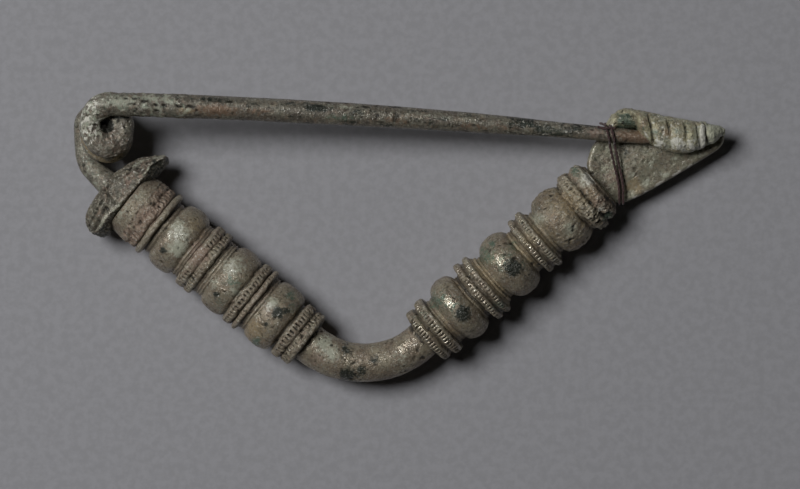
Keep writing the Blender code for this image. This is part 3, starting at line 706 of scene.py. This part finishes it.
def crossbar():
    """The head's crossbar as a loft, with its ridge, scores, lumps and pits."""
    middle, along, across = bow_frame(0)
    places = np.linspace(CROSSBAR[0][0], CROSSBAR[-1][0], CROSSBAR_ROWS)
    outer, inner, low, crest, ridge = curve_through(CROSSBAR, places)
    width, rise = inner - outer, crest - low
    peak = outer + ridge * width
    corners = (
        (outer + 0.25 * width, low),
        (outer, low + 0.25 * rise),
        (outer, crest - CROSSBAR_SLOPE),
        (outer + 0.22 * width, crest - 0.42 * CROSSBAR_SLOPE),
        (peak, crest),
        (inner - 0.06 * width, crest - 1.35),
        (inner, low + 0.15 * rise),
    )
    loop = rounded_loop(np.array(corners).transpose(2, 0, 1), CROSSBAR_SIDES, 6)
    grid = middle * FLAT + across * places[:, None, None] + along * loop[..., :1] + UP * loop[..., 1:]
    height, pits = weathered(grid, 0.85, 41)
    height = height + 0.045 * np.abs(noise(grid, 0.3, 45))
    x, y = places[:, None], loop[..., 0]
    top = ramp(loop[..., 1] - (crest - 3.2)[:, None], 0, 1)
    scores = np.zeros_like(height)
    for start, end, wide, depth in HEAD_SCORES:
        scores += depth * hump(distance_to_line(x, y, start, end), 0, wide) * top
    grid = grown(grid, height - scores)
    layers = blank_layers(height.shape)
    # A pale, lighter line along the crest is a painted highlight, with lower roughness there too.
    edge = hump(y, (peak - 0.1)[:, None], 0.17) * top
    outer_rim = hump(y, (outer + 0.16 * width)[:, None], 0.22) * top * ramp(x, 3.2, 4.2)
    layers["crust"] = np.maximum(0.75 * edge * patchy(grid, 0.7, 43, -0.1, 0.25), 0.6 * outer_rim)
    # The inner face beyond the crest is darkened as painted shade.
    shaded_inner_face = ramp(y - (peak + 0.08)[:, None], 0, 0.15)
    layers["dark"] = np.maximum(0.9 * blot(x, y, 6.3, 3.4, 0.3) * top, 0.62 * shaded_inner_face)
    layers["warm"] = 0.5 * patchy(grid, 2, 44, 0, 0.5) * top
    # Lumps are painted lighter and dips darker, as painted light and shade.
    lumps = 0.42 * np.clip(height / 0.11, -1, 1)
    layers["depth"] = np.clip(lumps - 4.5 * scores - 0.5 * pits + 0.6 * edge, -1, 1)
    layers["polish"] = 0.35 * edge
    piece = shell("bow_head", grid + APEX, layers, HEAD_BRONZE)
    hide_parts("bow")


crossbar()

# ---- the wire: root, spring and pin ----

# At each quarter turn, back from the pin: from the coil's middle to the wire's, and the wire's radius.
COIL_RADII = (3.02, 2.3, 2.61, 2.15, 1.95, 2.55, 3.6, 1.7, 2.2, 3.42)
COIL_WIRE = (1.6, 1.3, 1.66, 1.5, 1.42, 1.4, 1.4, 1.42, 1.44, 1.48)
COIL_STEPS = 28  # rows in each quarter turn
COIL_PITCH = 3.15  # how far each turn goes down
COIL_SINK = 0.6  # and how much further the last three quarters go
COIL_BACK = 45  # no part of the coil is further from the pin's start, along the wire
COIL_HOLE = (-0.4, 0.05)  # its middle, from the coil's
COIL_HOLE_LUMP = math.radians(-35)  # the way that it is most filled up
ROOT_HEIGHT = 4.4
ROOT_SWING = (0.42, 0.62)  # how straight it leaves the head and enters the coil, as shares of the way
ROOT_ROWS, PIN_ROWS, WIRE_SIDES = 46, 420, 90
PIN_FALL = 0.027  # each millimetre along, towards the arms
PIN_BOW = 2.8  # by its end
PIN_START_HEIGHT = 11.05
PIN_POINT_HEIGHT = 6.1
PIN_TAPER = (  # (share of its length, radius)
    (0, 1.6), (0.03, 1.57), (0.1, 1.62), (0.38, 1.6), (0.53, 1.5), (0.66, 1.37),
    (0.81, 1.03), (0.92, 1), (0.955, 0.85), (1, 0.4),
)


def eased(values, place):
    """A value between two neighbours in a list, level at both."""
    entry = min(int(place), len(values) - 2)
    share = place - entry
    share = share * share * (3 - 2 * share)
    return values[entry] + (values[entry + 1] - values[entry]) * share


def wire_path():
    """The root, the coil and the pin, each as (point, radius) all along it."""
    middle, inwards, _ = bow_frame(0)
    quarters = len(COIL_RADII) - 1
    coil = []
    for step in range(quarters * COIL_STEPS, 0, -1):
        back = step / COIL_STEPS
        angle = math.pi / 2 + back * math.pi / 2
        point = COIL + heading(angle) * eased(COIL_RADII, back)
        sunk = COIL_SINK * max(0, back - quarters + 3) / 3
        point[2] = PIN_START_HEIGHT - COIL_PITCH * back / 4 - sunk
        coil.append((point, eased(COIL_WIRE, back)))
    first = coil[0][0]
    face = middle * FLAT + UP * ROOT_HEIGHT
    reach = np.linalg.norm(face - first)
    out_of_head = face - inwards * reach * ROOT_SWING[0]
    into_coil = first - np.array([0, reach * ROOT_SWING[1], 0])
    root = []
    for share in np.linspace(-0.16, 0.985, ROOT_ROWS):
        rest = 1 - share
        point = face * rest**3 + out_of_head * 3 * rest**2 * share
        point = point + into_coil * 3 * rest * share**2 + first * share**3
        swell = max(0, 1 - max(share, 0) / 0.34) ** 2
        root.append((point + UP * 0.55 * swell, COIL_WIRE[-1] + 0.3 * swell))
    pin = []
    for share in np.linspace(0, 1, PIN_ROWS):
        along = PIN_LENGTH * share
        point = COIL + np.array([along, COIL_RADII[0] + 0.05 - PIN_FALL * along - PIN_BOW * share**2, 0])
        point[2] = PIN_POINT_HEIGHT + (PIN_START_HEIGHT - PIN_POINT_HEIGHT) * (1 - share) ** 1.25
        pin.append((point, float(table_at(PIN_TAPER, share))))
    return root, coil, pin


def way_along(points):
    along = np.gradient(points, axis=0)
    return along / np.linalg.norm(along, axis=1)[:, None]


def sweep(path, sides):
    """A grid round a path of (point, radius), with hardly any twist, and its angles and radii."""
    points = np.array([point for point, _ in path])
    radii = np.array([radius for _, radius in path])
    along = way_along(points)
    side = np.cross(UP, along)
    side /= np.linalg.norm(side, axis=1)[:, None]
    turn = circle(sides)
    out = spokes(turn, side, np.cross(along, side))
    return points[:, None, :] + out * radii[:, None, None], turn, radii


CRUST_END = 13  # along the pin, where the coil's green crust gives way to streaks
DARK_PART = (52, 57, 63, 66)
# Patches on the pin, as (distance from its start, place across it, reach along, reach across, strength).
PIN_PATCHES = {
    "crust": (
        (1.5, 0.3, 2.2, 0.9, 0.9), (6, 0.9, 3, 0.5, 0.7), (31, 0.9, 4.5, 0.4, 0.5),
        (46, 0.5, 3, 0.5, 0.5), (61, -0.3, 2.6, 0.6, 0.7),
    ),
    "ochre": ((10.8, -0.6, 1.3, 0.5, 0.9),),
    "white": ((10.4, 0.1, 0.6, 0.5, 0.6),),
    "rust": (
        (15, -0.4, 3.4, 0.8, 1), (20.5, -0.3, 2.4, 0.6, 0.6), (40, -0.5, 2.6, 0.6, 0.7),
        (50, -0.5, 2.8, 0.5, 0.7), (54.5, -0.2, 1.4, 0.6, 0.6), (73, 0, 3.4, 1.1, 1.2),
    ),
    "dark": ((14, 1, 4, 0.4, 0.8), (28.5, 0.6, 2, 0.6, 1.2), (64.5, 0.4, 1.4, 0.5, 0.9)),
    "green": ((32, -0.5, 3, 0.5, 0.6), (57.5, 0.4, 2, 0.5, 0.6)),
    "warm": ((67, 0, 1, 0.9, 0.9),),
}


def closed_in(grid, coiled):
    """The coil's inner faces, swollen by corrosion until only a small crooked hole is left."""
    offset = grid - COIL - np.array([*COIL_HOLE, 0])
    reach = np.hypot(offset[..., 0], offset[..., 1])
    angle = np.arctan2(offset[..., 1], offset[..., 0])
    swell = 0.5 + 0.3 * np.cos(angle - COIL_HOLE_LUMP) + 0.16 * noise(grid, 0.8, 57)
    swell = swell * ramp(2.3 - reach, 0, 1.1) * coiled
    moved = np.clip(reach - swell, 0.25, None) / np.maximum(reach, 0.25)
    return grid + offset * (np.where(swell > 0, moved, 1) - 1)[..., None] * FLAT


def wire():
    """Root, coil and pin in one, with the coil corroded shut and the pin pitted, streaked and crusted."""
    root, coil, pin = wire_path()
    path = root + coil + pin
    grid, turn, radii = sweep(path, WIRE_SIDES)
    starts = len(root) + len(coil)
    lengths = np.linalg.norm(np.diff(np.array([point for point, _ in path]), axis=0), axis=1)
    place = np.concatenate([[0], np.cumsum(lengths)])
    place = (place - place[starts])[:, None]  # from the pin's start
    across = radii[:, None] * np.cos(turn)
    up = np.sin(turn)
    back = np.zeros((len(path), 1))  # quarter turns of the coil, back from the pin
    back[len(root):starts, 0] = np.arange(len(coil), 0, -1) / COIL_STEPS
    lower_loop = hump(back, 2.2, 0.85) * (back > 0)
    green_part = ramp(CRUST_END - place, 0, 2)
    rough = 0.25 + 1.5 * lower_loop + 0.55 * green_part * (place > 0) - 0.12 * (1 - green_part)
    rough = rough * (0.4 + 0.6 * patchy(grid, 2.4, 51, -0.4, 0.4))
    stretched = grid * np.array([0.6, 1, 1])
    height, pits = weathered(np.where((place > CRUST_END - 1)[..., None], stretched, grid), rough, 50)
    height = height * np.where(place > CRUST_END + 1, 0.55, 1)
    pitted = hump(across, -0.05, 0.2) * between(place, 2, 4, 11.5, 12.5)
    pitted += hump(across, 0.85, 0.2) * between(place, 0.5, 1.5, 4.5, 5.5)
    holes = pitted * (up > 0) * patchy(grid, 0.55, 52, 0, 0.25)
    grid = grown(grid, height - 0.18 * holes)
    grid = closed_in(grid, (np.abs(place) < COIL_BACK) & (place < 0.5))
    layers = blank_layers(across.shape)
    for tint, spots in PIN_PATCHES.items():
        for at, side, reach, wide, strength in spots:
            at_least(layers, tint, strength * hump(place, at, reach) * hump(across, side, wide) * (up > -0.3))
    streaks = noise(points_at(place * 0.35, across, up), 0.7, 53)
    at_least(layers, "dark", 0.5 * ramp(streaks, 0.05, 0.4) * ramp(place, CRUST_END - 1, CRUST_END + 3))
    far = between(place, *DARK_PART)
    at_least(layers, "dark", 0.72 * far * patchy(stretched, 0.9, 60, -0.45, 0.15))
    layers["white"] = 0.4 * far * patchy(stretched, 0.4, 56, 0.2, 0.5)
    into_root = place[len(root)] - place
    crusted = np.where(into_root > 0, 0.4 * ramp(into_root, 0, 3), 0.62) * green_part * (back < 1.6)
    at_least(layers, "crust", crusted * patchy(grid, 0.9, 54, -0.1, 0.4))
    at_least(layers, "green", 0.22 * green_part * (1 - lower_loop))
    # The front loop's upper side: pale crust, with white painted on as a painted highlight.
    lit_front_strand = between(back, 0, 0.25, 1.25, 1.55) * (up > 0.1)
    at_least(layers, "crust", 0.7 * lit_front_strand * patchy(grid, 0.5, 58, -0.3, 0.25))
    layers["white"] += 0.75 * lit_front_strand * patchy(grid, 0.5, 59, 0.05, 0.35)
    at_least(layers, "warm", 0.4 * lower_loop)
    specks = patchy(grid, 0.27, 62, 0.25, 0.5) * green_part * (place < 1) * (up > 0)
    at_least(layers, "white", 0.52 * specks * (back > 0))
    # Painted shade: the coil's hole and inner faces are darkened, and a dark line under the pin's lower edge
    # is a painted shadow.
    x, y, _ = np.moveaxis(grid - COIL, -1, 0)
    inside = ramp(1.15 - np.hypot(x, y), 0, 0.45) * (np.abs(place) < 40)
    shade_under_pin = hump(y, 1.18, 0.14) * between(x, 0.2, 0.6, 2.9, 3.3)
    inside = np.maximum(inside, shade_under_pin * (back > 1.8))
    at_least(layers, "dark", 1.1 * inside)
    tongue = between(back, 4.6, 5.5, 6, 7.2) * patchy(grid, 1.2, 77, -0.7, 0.2)
    at_least(layers, "ochre", 0.8 * tongue)
    # Lumps are painted lighter and dips darker, as painted light and shade; pits and holes are dark.
    lumps = 0.45 * np.clip(height / 0.12, -1, 1) * ramp(rough, 0.3, 0.9)
    layers["depth"] = np.clip(lumps - 0.9 * pits - 1.6 * holes - 0.7 * inside, -1, 1)
    gloss = patchy(grid, 1.7, 55, -0.45, 0.2) * green_part * (1 - 0.6 * lower_loop)
    gloss = np.maximum(gloss * np.where(back > 0, 0.75, 0.35), 0.45 * (1 - green_part))
    layers["polish"] = gloss * (1 - inside)
    piece = shell("pin_and_spring_wire", grid + APEX, layers, PIN_BRONZE)
    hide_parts("pin_and_spring")


wire()

# ---- the catch, laid out from the end of the right arm ----

PLATE_UNDERSIDE = 3.55
PLATE_TOP = 4.65
PLATE_DROOP = 0.9  # how far its lower edge is bent down
PLATE_MIDDLE = (7, 4.6)
PLATE_SIDES = 420
PLATE_EDGE = (
    (-1.3, 5.1), (-1.7, 3.9), (-1.95, 2.85), (-1.6, 1.2), (-0.6, -1.6), (0.6, -2.2), (3.05, -2.55),
    (5.4, -1.55), (7.4, -0.45), (9.5, 0.78), (11.5, 1.95), (13.4, 3.1), (15.1, 4.15), (16.3, 4.95),
    (16.9, 5.7), (17.05, 6.4), (16.95, 7.3), (2.6, 9.9), (0.6, 7.9),
)
# Along the hand: where its top edge is, where the fold's lip is, and how high it stands.
HAND_TOP = (
    (0.75, 8.45), (1.5, 9.62), (2.3, 10.2), (3.4, 10.52), (4.4, 10.4), (9.4, 9.35), (16.5, 8.08),
    (17.1, 7.55),
)
HAND_LIP = (
    (0.75, 7.6), (1.5, 7.44), (5.1, 7.3), (6, 6.3), (6.7, 5.6), (8.4, 4.85), (10.2, 4.42), (11.9, 4.42),
    (13.6, 5.1), (15.4, 5.7), (16.5, 6.6), (17.1, 6.95),
)
HAND_CROWN = (
    (0.75, 6), (1.5, 6.8), (3, 7.7), (6, 8), (11.7, 8), (13.6, 7.4), (15.4, 6.7), (17.1, 5.3),
)
HAND_ROWS, HAND_SIDES, HAND_UNDER_SIDES = 260, 88, 22
FINGER_GROOVES = (6.75, 9.3, 11.6, 13.25, 14.45)
WORN_GROOVES = FINGER_GROOVES[1:3]  # they fade towards the lip
FINGER_ENDS = (4.6, 16.9)  # the wrist and the tip
KNUCKLES = ((7.95, 5.75, 0.75), (10.45, 5.75, 1), (12.2, 5.3, 0.7))  # (x, y, reach)


def fingers(places, turn):
    """How deep the grooves between the fingers are, and how far the fingers stand out, over the hand."""
    at, over = np.meshgrid(places, turn, indexing="ij")
    waver = 0.12 * noise(points_at(at, 9 * over, 0), 2.2, 64)
    leaning = at - 0.75 * (over - 0.5) + waver
    cut, bulge = np.zeros_like(at), np.zeros_like(at)
    for groove in FINGER_GROOVES:
        faded = 0.8 * ramp(turn, 0.42, 0.66) * (groove in WORN_GROOVES)
        cut += 0.24 * (1 - faded) * hump(leaning, groove, 0.15)
    edges = (FINGER_ENDS[0], *FINGER_GROOVES, FINGER_ENDS[1])
    for first, last in zip(edges, edges[1:]):
        share = np.clip((leaning - first) / (last - first), 0, 1)
        within = (share > 0) & (share < 1)
        bulge += within * (0.2 * np.sin(math.pi * share) ** 0.8 - 0.14 * share)
    fading = between(turn, 0.1, 0.28, 0.8, 0.98)
    return cut * fading, bulge * fading


def catch_hand():
    """The plate's upper edge folded over as a hand, with fingers, knuckles and the thumb's hollow."""
    places = np.linspace(HAND_TOP[0][0], HAND_TOP[-1][0], HAND_ROWS)
    turn = np.linspace(0, 1, HAND_SIDES)
    cut, bulge = (np.pad(values, ((0, 0), (0, HAND_UNDER_SIDES))) for values in fingers(places, turn))
    top, lip, crown = (table_at(table, places)[:, None] for table in (HAND_TOP, HAND_LIP, HAND_CROWN))
    low = PLATE_UNDERSIDE + 0.15
    angle = math.pi * turn
    across = top + (lip - top) * (1 - np.cos(angle)) / 2
    height = low + 0.9 + (crown - low - 0.9) * np.sin(angle) ** 0.62
    at = places[:, None]
    over = points_at(at, across, height)
    lip_end, top_end = points_at(at, lip + 0.15, low), points_at(at, top - 0.15, low)
    share = np.linspace(0, 1, HAND_UNDER_SIDES + 2)[1:-1, None]
    grid = CATCH + np.concatenate([over, lip_end * (1 - share) + top_end * share], axis=1)
    weather, pits = weathered(grid, 0.65, 61)
    x, y, _ = np.moveaxis(grid - CATCH, -1, 0)
    knuckles = sum(blot(x, y, at_x, at_y, reach**2) for at_x, at_y, reach in KNUCKLES)
    hollow = between(x, 1.6, 2.4, 4.7, 5.2) * between(y, 7, 7.4, 9.7, 10.1)
    raised = between(x - 0.12 * (y - 6.5), 13.3, 13.45, 14.2, 14.35)
    grid = grown(grid, weather + bulge + 0.16 * knuckles + 0.16 * raised - 0.3 * hollow - cut)
    layers = blank_layers(x.shape)
    # The thumb's hollow: green corrosion, with its mouth and hollow darkened as painted shade.
    mouth = hollow * ramp(4.7 - x + 0.5 * (8.6 - y), 0, 0.4)
    layers["green"] = 0.42 * patchy(grid, 0.9, 69, -0.05, 0.45) * ramp(x, 5, 6) * (1 - mouth)
    layers["green"] += 0.75 * mouth
    layers["dark"] = 0.3 * mouth * patchy(grid, 0.6, 75, -0.3, 0.4)
    layers["crust"] = 0.5 * ramp(x, 6.4, 7.2) * patchy(grid, 1.3, 65, -0.5, 0.4) + 0.2 + 0.12 * mouth
    at_least(layers, "crust", 0.95 * ramp(x, 14.4, 14.9))
    layers["rust"] = 0.55 * between(x, 4.6, 5.4, 6.2, 7) * patchy(grid, 1.1, 66, -0.4, 0.3)
    layers["warm"] = 0.9 * np.exp(-((x - 8.8) ** 2 / 0.6 + (y - 7.1) ** 2 / 1.2))
    # The raised band is painted white as a painted highlight; rim_glint and wrist_glint are painted glints.
    band_highlight = raised * between(y, 4.8, 5.3, 7.8, 8.3)
    blotches = np.clip(knuckles, 0, 1) * patchy(grid, 0.8, 63, -0.45, 0.15)
    rim_glint = hump(x - 0.9 * (y - 8), 1.3, 0.28) * between(y, 7.7, 8.1, 9.4, 9.9)
    wrist_glint = np.exp(-((x + 0.55 * (y - 6.9) - 6.15) ** 2) / 0.02) * between(y, 6.2, 6.5, 7.2, 7.6)
    layers["white"] = 1.35 * band_highlight + 1.1 * blotches + 0.9 * rim_glint * patchy(grid, 0.4, 76, 0, 0.3)
    flecks = patchy(grid, 0.45, 68, 0.15, 0.5) * between(x, 6.6, 7.2, 13.4, 14)
    layers["white"] += 0.9 * wrist_glint + 0.5 * flecks
    layers["ochre"] = 0.55 * between(x, 6.8, 7.6, 10.5, 12.5) * patchy(grid, 1.4, 67, -0.1, 0.3)
    layers["depth"] = np.clip(-3.2 * cut - 0.8 * pits - 0.45 * hollow, -1, 1)
    layers["polish"] += 0.35
    piece = shell("bow_catch_hand", grid + APEX, layers, HAND_BRONZE)
    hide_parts("bow")


def catch_plate():
    """The plate as a filled outline, drawn in rings from its edge to its middle, above and below."""
    outline = rounded_loop(np.array([PLATE_EDGE]), PLATE_SIDES, 10)[0]
    inwards = np.array(PLATE_MIDDLE) - outline
    shares = np.concatenate([[0, 0.008, 0.02, 0.035], np.linspace(0.06, 0.985, 58)])[:, None]
    inset = np.linalg.norm(inwards, axis=1) * shares
    x, y = np.moveaxis(outline + inwards * shares[..., None], -1, 0)
    rim = 0.34 * (1 - np.clip(inset / 0.45, 0, 1)) ** 2
    hollow = 0.16 * ramp(inset, 0.3, 2.2)
    lift = -PLATE_DROOP * ramp(0.58 * x - y + 0.4, 0, 6.5) * ramp(x, 1, 4)
    top = points_at(x, y, PLATE_TOP - rim - hollow + lift)
    under = points_at(x, y, PLATE_UNDERSIDE + rim + lift)
    grid = CATCH + np.concatenate([under[::-1], top])
    weather, pits = weathered(grid, 0.08, 71)
    weather[:len(shares)] *= -1
    grid[..., 2] += weather
    x, y, _ = np.moveaxis(grid - CATCH, -1, 0)
    layers = blank_layers(x.shape)
    layers["ochre"] = 0.8 * blot(x, y, 4.6, -0.2, 2.6)
    layers["warm"] = 0.5 * blot(x, y, 1.4, 1, 5)
    mottled = patchy(grid, 1.3, 72, 0, 0.5) * ramp(x, 2.4, 4)
    layers["crust"] = 0.55 * mottled * ramp(5.4 - y, 0, 2)
    # Painted shade: darker towards the upper right under the hand and towards the left, with a painted shadow
    # of the pin just below it.
    shade = 0.07 * ramp(0.8 * x + y, 8, 12) + 0.22 * ramp(3 - x, 0, 2)
    layers["dark"] = 0.04 + shade + 0.5 * blot(x, y, 3.4, 4.6, 1.6)
    from_edge = np.concatenate([inset[::-1], inset])
    # A pale line along the lower rim's bevel is a painted highlight, with lower roughness there too.
    slanting = between(x, 3.6, 4.4, 11.5, 14.5) * (y < 0.58 * x - 2)
    layers["white"] = 0.85 * hump(from_edge, 0.22, 0.2) * slanting * patchy(grid, 1.2, 74, -0.25, 0.15)
    layers["depth"] = -0.45 * pits
    layers["polish"] = 0.3 + 0.5 * layers["white"]
    piece = shell("bow_catch_plate", grid + APEX, layers, PLATE_BRONZE)
    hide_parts("bow")


catch_plate()
catch_hand()

# ---- the binding thread ----

THREAD_RADIUS = 0.185
STRANDS = (-0.345, 0.345)  # each strand's place along the pin, from the middle of the two
CROSSING = 1.225  # along the plate, where the strands pass over the pin's axis
SLANT = 0.27  # how fast they move along the plate as they come down it
STRAND_ROWS, END_ROWS, THREAD_SIDES = 420, 70, 20
THREAD_COLOURS = ((0.034, 0.018, 0.019), (0.125, 0.066, 0.06))
TWIST_LENGTH = 1.5


def fibre(name):
    n = Nodes(name)
    colour = n.mix(n.fit(n.noise(0.22, 3, 0.6), 0.35, 0.65), *THREAD_COLOURS)
    n.surface({"Base Color": colour, "Roughness": 0.85, "Sheen Weight": 0.25})
    n.bump(n.noise(0.07, 2, 0.6), 0.03)
    return n.material


def pin_near(along_plate):
    """The pin's axis and radius at a place along the plate."""
    pin = wire_path()[2]
    xs = np.array([point[0] for point, _ in pin]) - CATCH[0]
    return pin[int(np.argmin(np.abs(xs - along_plate)))]


def strand_route(shift):
    """One turn: up past the pin's far side, slanting over it, down the plate and back beneath."""
    centre, radius = pin_near(CROSSING + shift)
    middle = centre[1] - CATCH[1]
    reach = radius + THREAD_RADIUS + 0.03
    above, below = PLATE_TOP + THREAD_RADIUS, PLATE_UNDERSIDE - THREAD_RADIUS
    route = [
        (CROSSING - 0.9 + shift, middle + 1.55, PLATE_UNDERSIDE - 0.1),
        (CROSSING - 0.7 + shift, middle + 1.45, PLATE_TOP + 0.6),
    ]
    for angle in np.linspace(math.radians(172), math.radians(28), 13):
        away = -math.cos(angle) * reach
        route.append((CROSSING + shift - SLANT * away, middle + away, centre[2] + math.sin(angle) * reach))
    plate_rows = (  # the second value is how much of the shift between the strands is left
        (1.55, 1, 5.35, centre[2] - 0.35),
        (2.18, 0.95, 2.63, PLATE_TOP + 0.62),
        (2.72, 0.85, 0.15, PLATE_TOP + 0.22),
        (2.8, 0.75, -1.7, above + 0.02),
        (2.82, 0.75, -2.28, above - 0.06),
        (2.84, 0.75, -2.58, PLATE_TOP - 0.25),
        (2.84, 0.75, -2.6, PLATE_UNDERSIDE + 0.25),
        (2.82, 0.75, -2.3, below + 0.04),
        (2.6, 0.75, -1.5, below - 0.02),
        (CROSSING - 0.7, 1, middle + 0.9, below - 0.02),
    )
    return CATCH + np.array(route + [(x + share * shift, y, z) for x, share, y, z in plate_rows])


def loose_end():
    """The short end that lies along the pin's upper side, over both strands."""
    route = []
    for along in np.linspace(-0.45, 1.85, 9):
        centre, radius = pin_near(along)
        reach = radius + THREAD_RADIUS + 0.02 + 0.16 * hump(along, 0.9, 0.7)
        angle = math.radians(52 + 6 * math.sin(3 * along))
        route.append(centre + np.array([0, math.cos(angle), math.sin(angle)]) * reach)
    return np.array(route)


def smooth_path(points, count):
    """Catmull-Rom through the points, evenly sampled, and its length."""
    padded = np.concatenate([2 * points[:1] - points[1:2], points, 2 * points[-1:] - points[-2:-1]])
    samples = []
    for index in range(1, len(padded) - 2):
        before, here, there, after = padded[index - 1:index + 3]
        for t in np.linspace(0, 1, 12, endpoint=False):
            samples.append(0.5 * (
                2 * here + (there - before) * t + (2 * before - 5 * here + 4 * there - after) * t**2
                + (3 * here - before - 3 * there + after) * t**3
            ))
    return evenly(np.array(samples + [points[-1]]), count)


def framed(points):
    """Two ways across a path that turn as little as possible."""
    along = way_along(points)
    side = np.zeros_like(points)
    side[0] = np.cross(along[0], [0.3, 0.2, 1])
    for row in range(len(points)):
        previous = side[max(row - 1, 0)]
        side[row] = previous - along[row] * (previous @ along[row])
        side[row] /= np.linalg.norm(side[row])
    return side, np.cross(along, side)


def thread():
    material = fibre("thread_fibre")
    routes = [(strand_route(shift), STRAND_ROWS) for shift in STRANDS] + [(loose_end(), END_ROWS)]
    for index, (route, rows) in enumerate(routes):
        path, length = smooth_path(route, rows)
        turn = circle(THREAD_SIDES)
        twist = np.linspace(0, length, rows)[:, None] * 2 * math.pi / TWIST_LENGTH
        lobes = 0.86 + 0.16 * np.cos(2 * (turn - twist))
        grid = path[:, None, :] + spokes(turn, *framed(path)) * (THREAD_RADIUS * lobes)[..., None]
        piece = shell(f"binding_thread_{index + 1}", grid + APEX, {}, material)
        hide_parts("binding_thread")


thread()

# ---- the floor, the light and the camera ----

VIEW_CENTRE = (0, -0.93)  # of the picture, in the row frame
VIEW_WIDTH = 110.08
VIEW_DISTANCE = 800
LOOK_HEIGHT = 5  # where the view is that wide
SENSOR = 36
FLOOR_HALF = 0.9  # metres
FLOOR_COLOURS = ((0.43, 0.428, 0.45), (0.472, 0.47, 0.496))
# The name, azimuth, elevation, distance and size in metres, and power of each light.
LIGHTS = (
    ("key", 152.5, 58.8, 0.75, 0.33, 2.95),
    ("fill", -80, 45, 0.9, 0.6, 0.035),
)
WORLD_STRENGTH = 0.0015


def floor():
    mesh = bpy.data.meshes.new("floor")
    corners = [(x * FLOOR_HALF, y * FLOOR_HALF, 0) for x, y in ((-1, -1), (1, -1), (1, 1), (-1, 1))]
    mesh.from_pydata(corners, [], [(0, 1, 2, 3)])
    n = Nodes("pale_card")
    colour = n.mix(n.fit(n.noise(1.2, 4, 0.6), 0.4, 0.6), *FLOOR_COLOURS)
    n.surface({"Base Color": colour, "Roughness": 0.9, "Specular IOR Level": 0.2})
    mesh.materials.append(n.material)
    made = placed("floor", mesh)


def area_light(name, azimuth, elevation, distance, size, power):
    light = bpy.data.lights.new(name, "AREA")
    light.shape = "DISK"
    light.size = size
    light.energy = power
    azimuth, elevation = math.radians(azimuth), math.radians(elevation)
    flat = math.cos(elevation)
    way = Vector((flat * math.cos(azimuth), flat * math.sin(azimuth), math.sin(elevation)))
    made = placed(name, light)
    made.location = way * distance
    made.rotation_euler = way.to_track_quat("Z", "Y").to_euler()


def camera():
    data = bpy.data.cameras.new("camera")
    data.sensor_width = SENSOR
    data.lens = SENSOR * (VIEW_DISTANCE - LOOK_HEIGHT) / VIEW_WIDTH
    data.clip_start = 0.01
    data.clip_end = 10
    made = placed("camera", data)
    made.location = (VIEW_CENTRE[0] * MM, VIEW_CENTRE[1] * MM, VIEW_DISTANCE * MM)
    bpy.context.scene.camera = made


def world():
    made = bpy.data.worlds.new("studio")
    made.use_nodes = True
    background = made.node_tree.nodes["Background"]
    background.inputs["Color"].default_value = (1, 1, 1, 1)
    background.inputs["Strength"].default_value = WORLD_STRENGTH
    bpy.context.scene.world = made


floor()
for light in LIGHTS:
    area_light(*light)
camera()
world()
bpy.context.scene.view_settings.view_transform = "Standard"
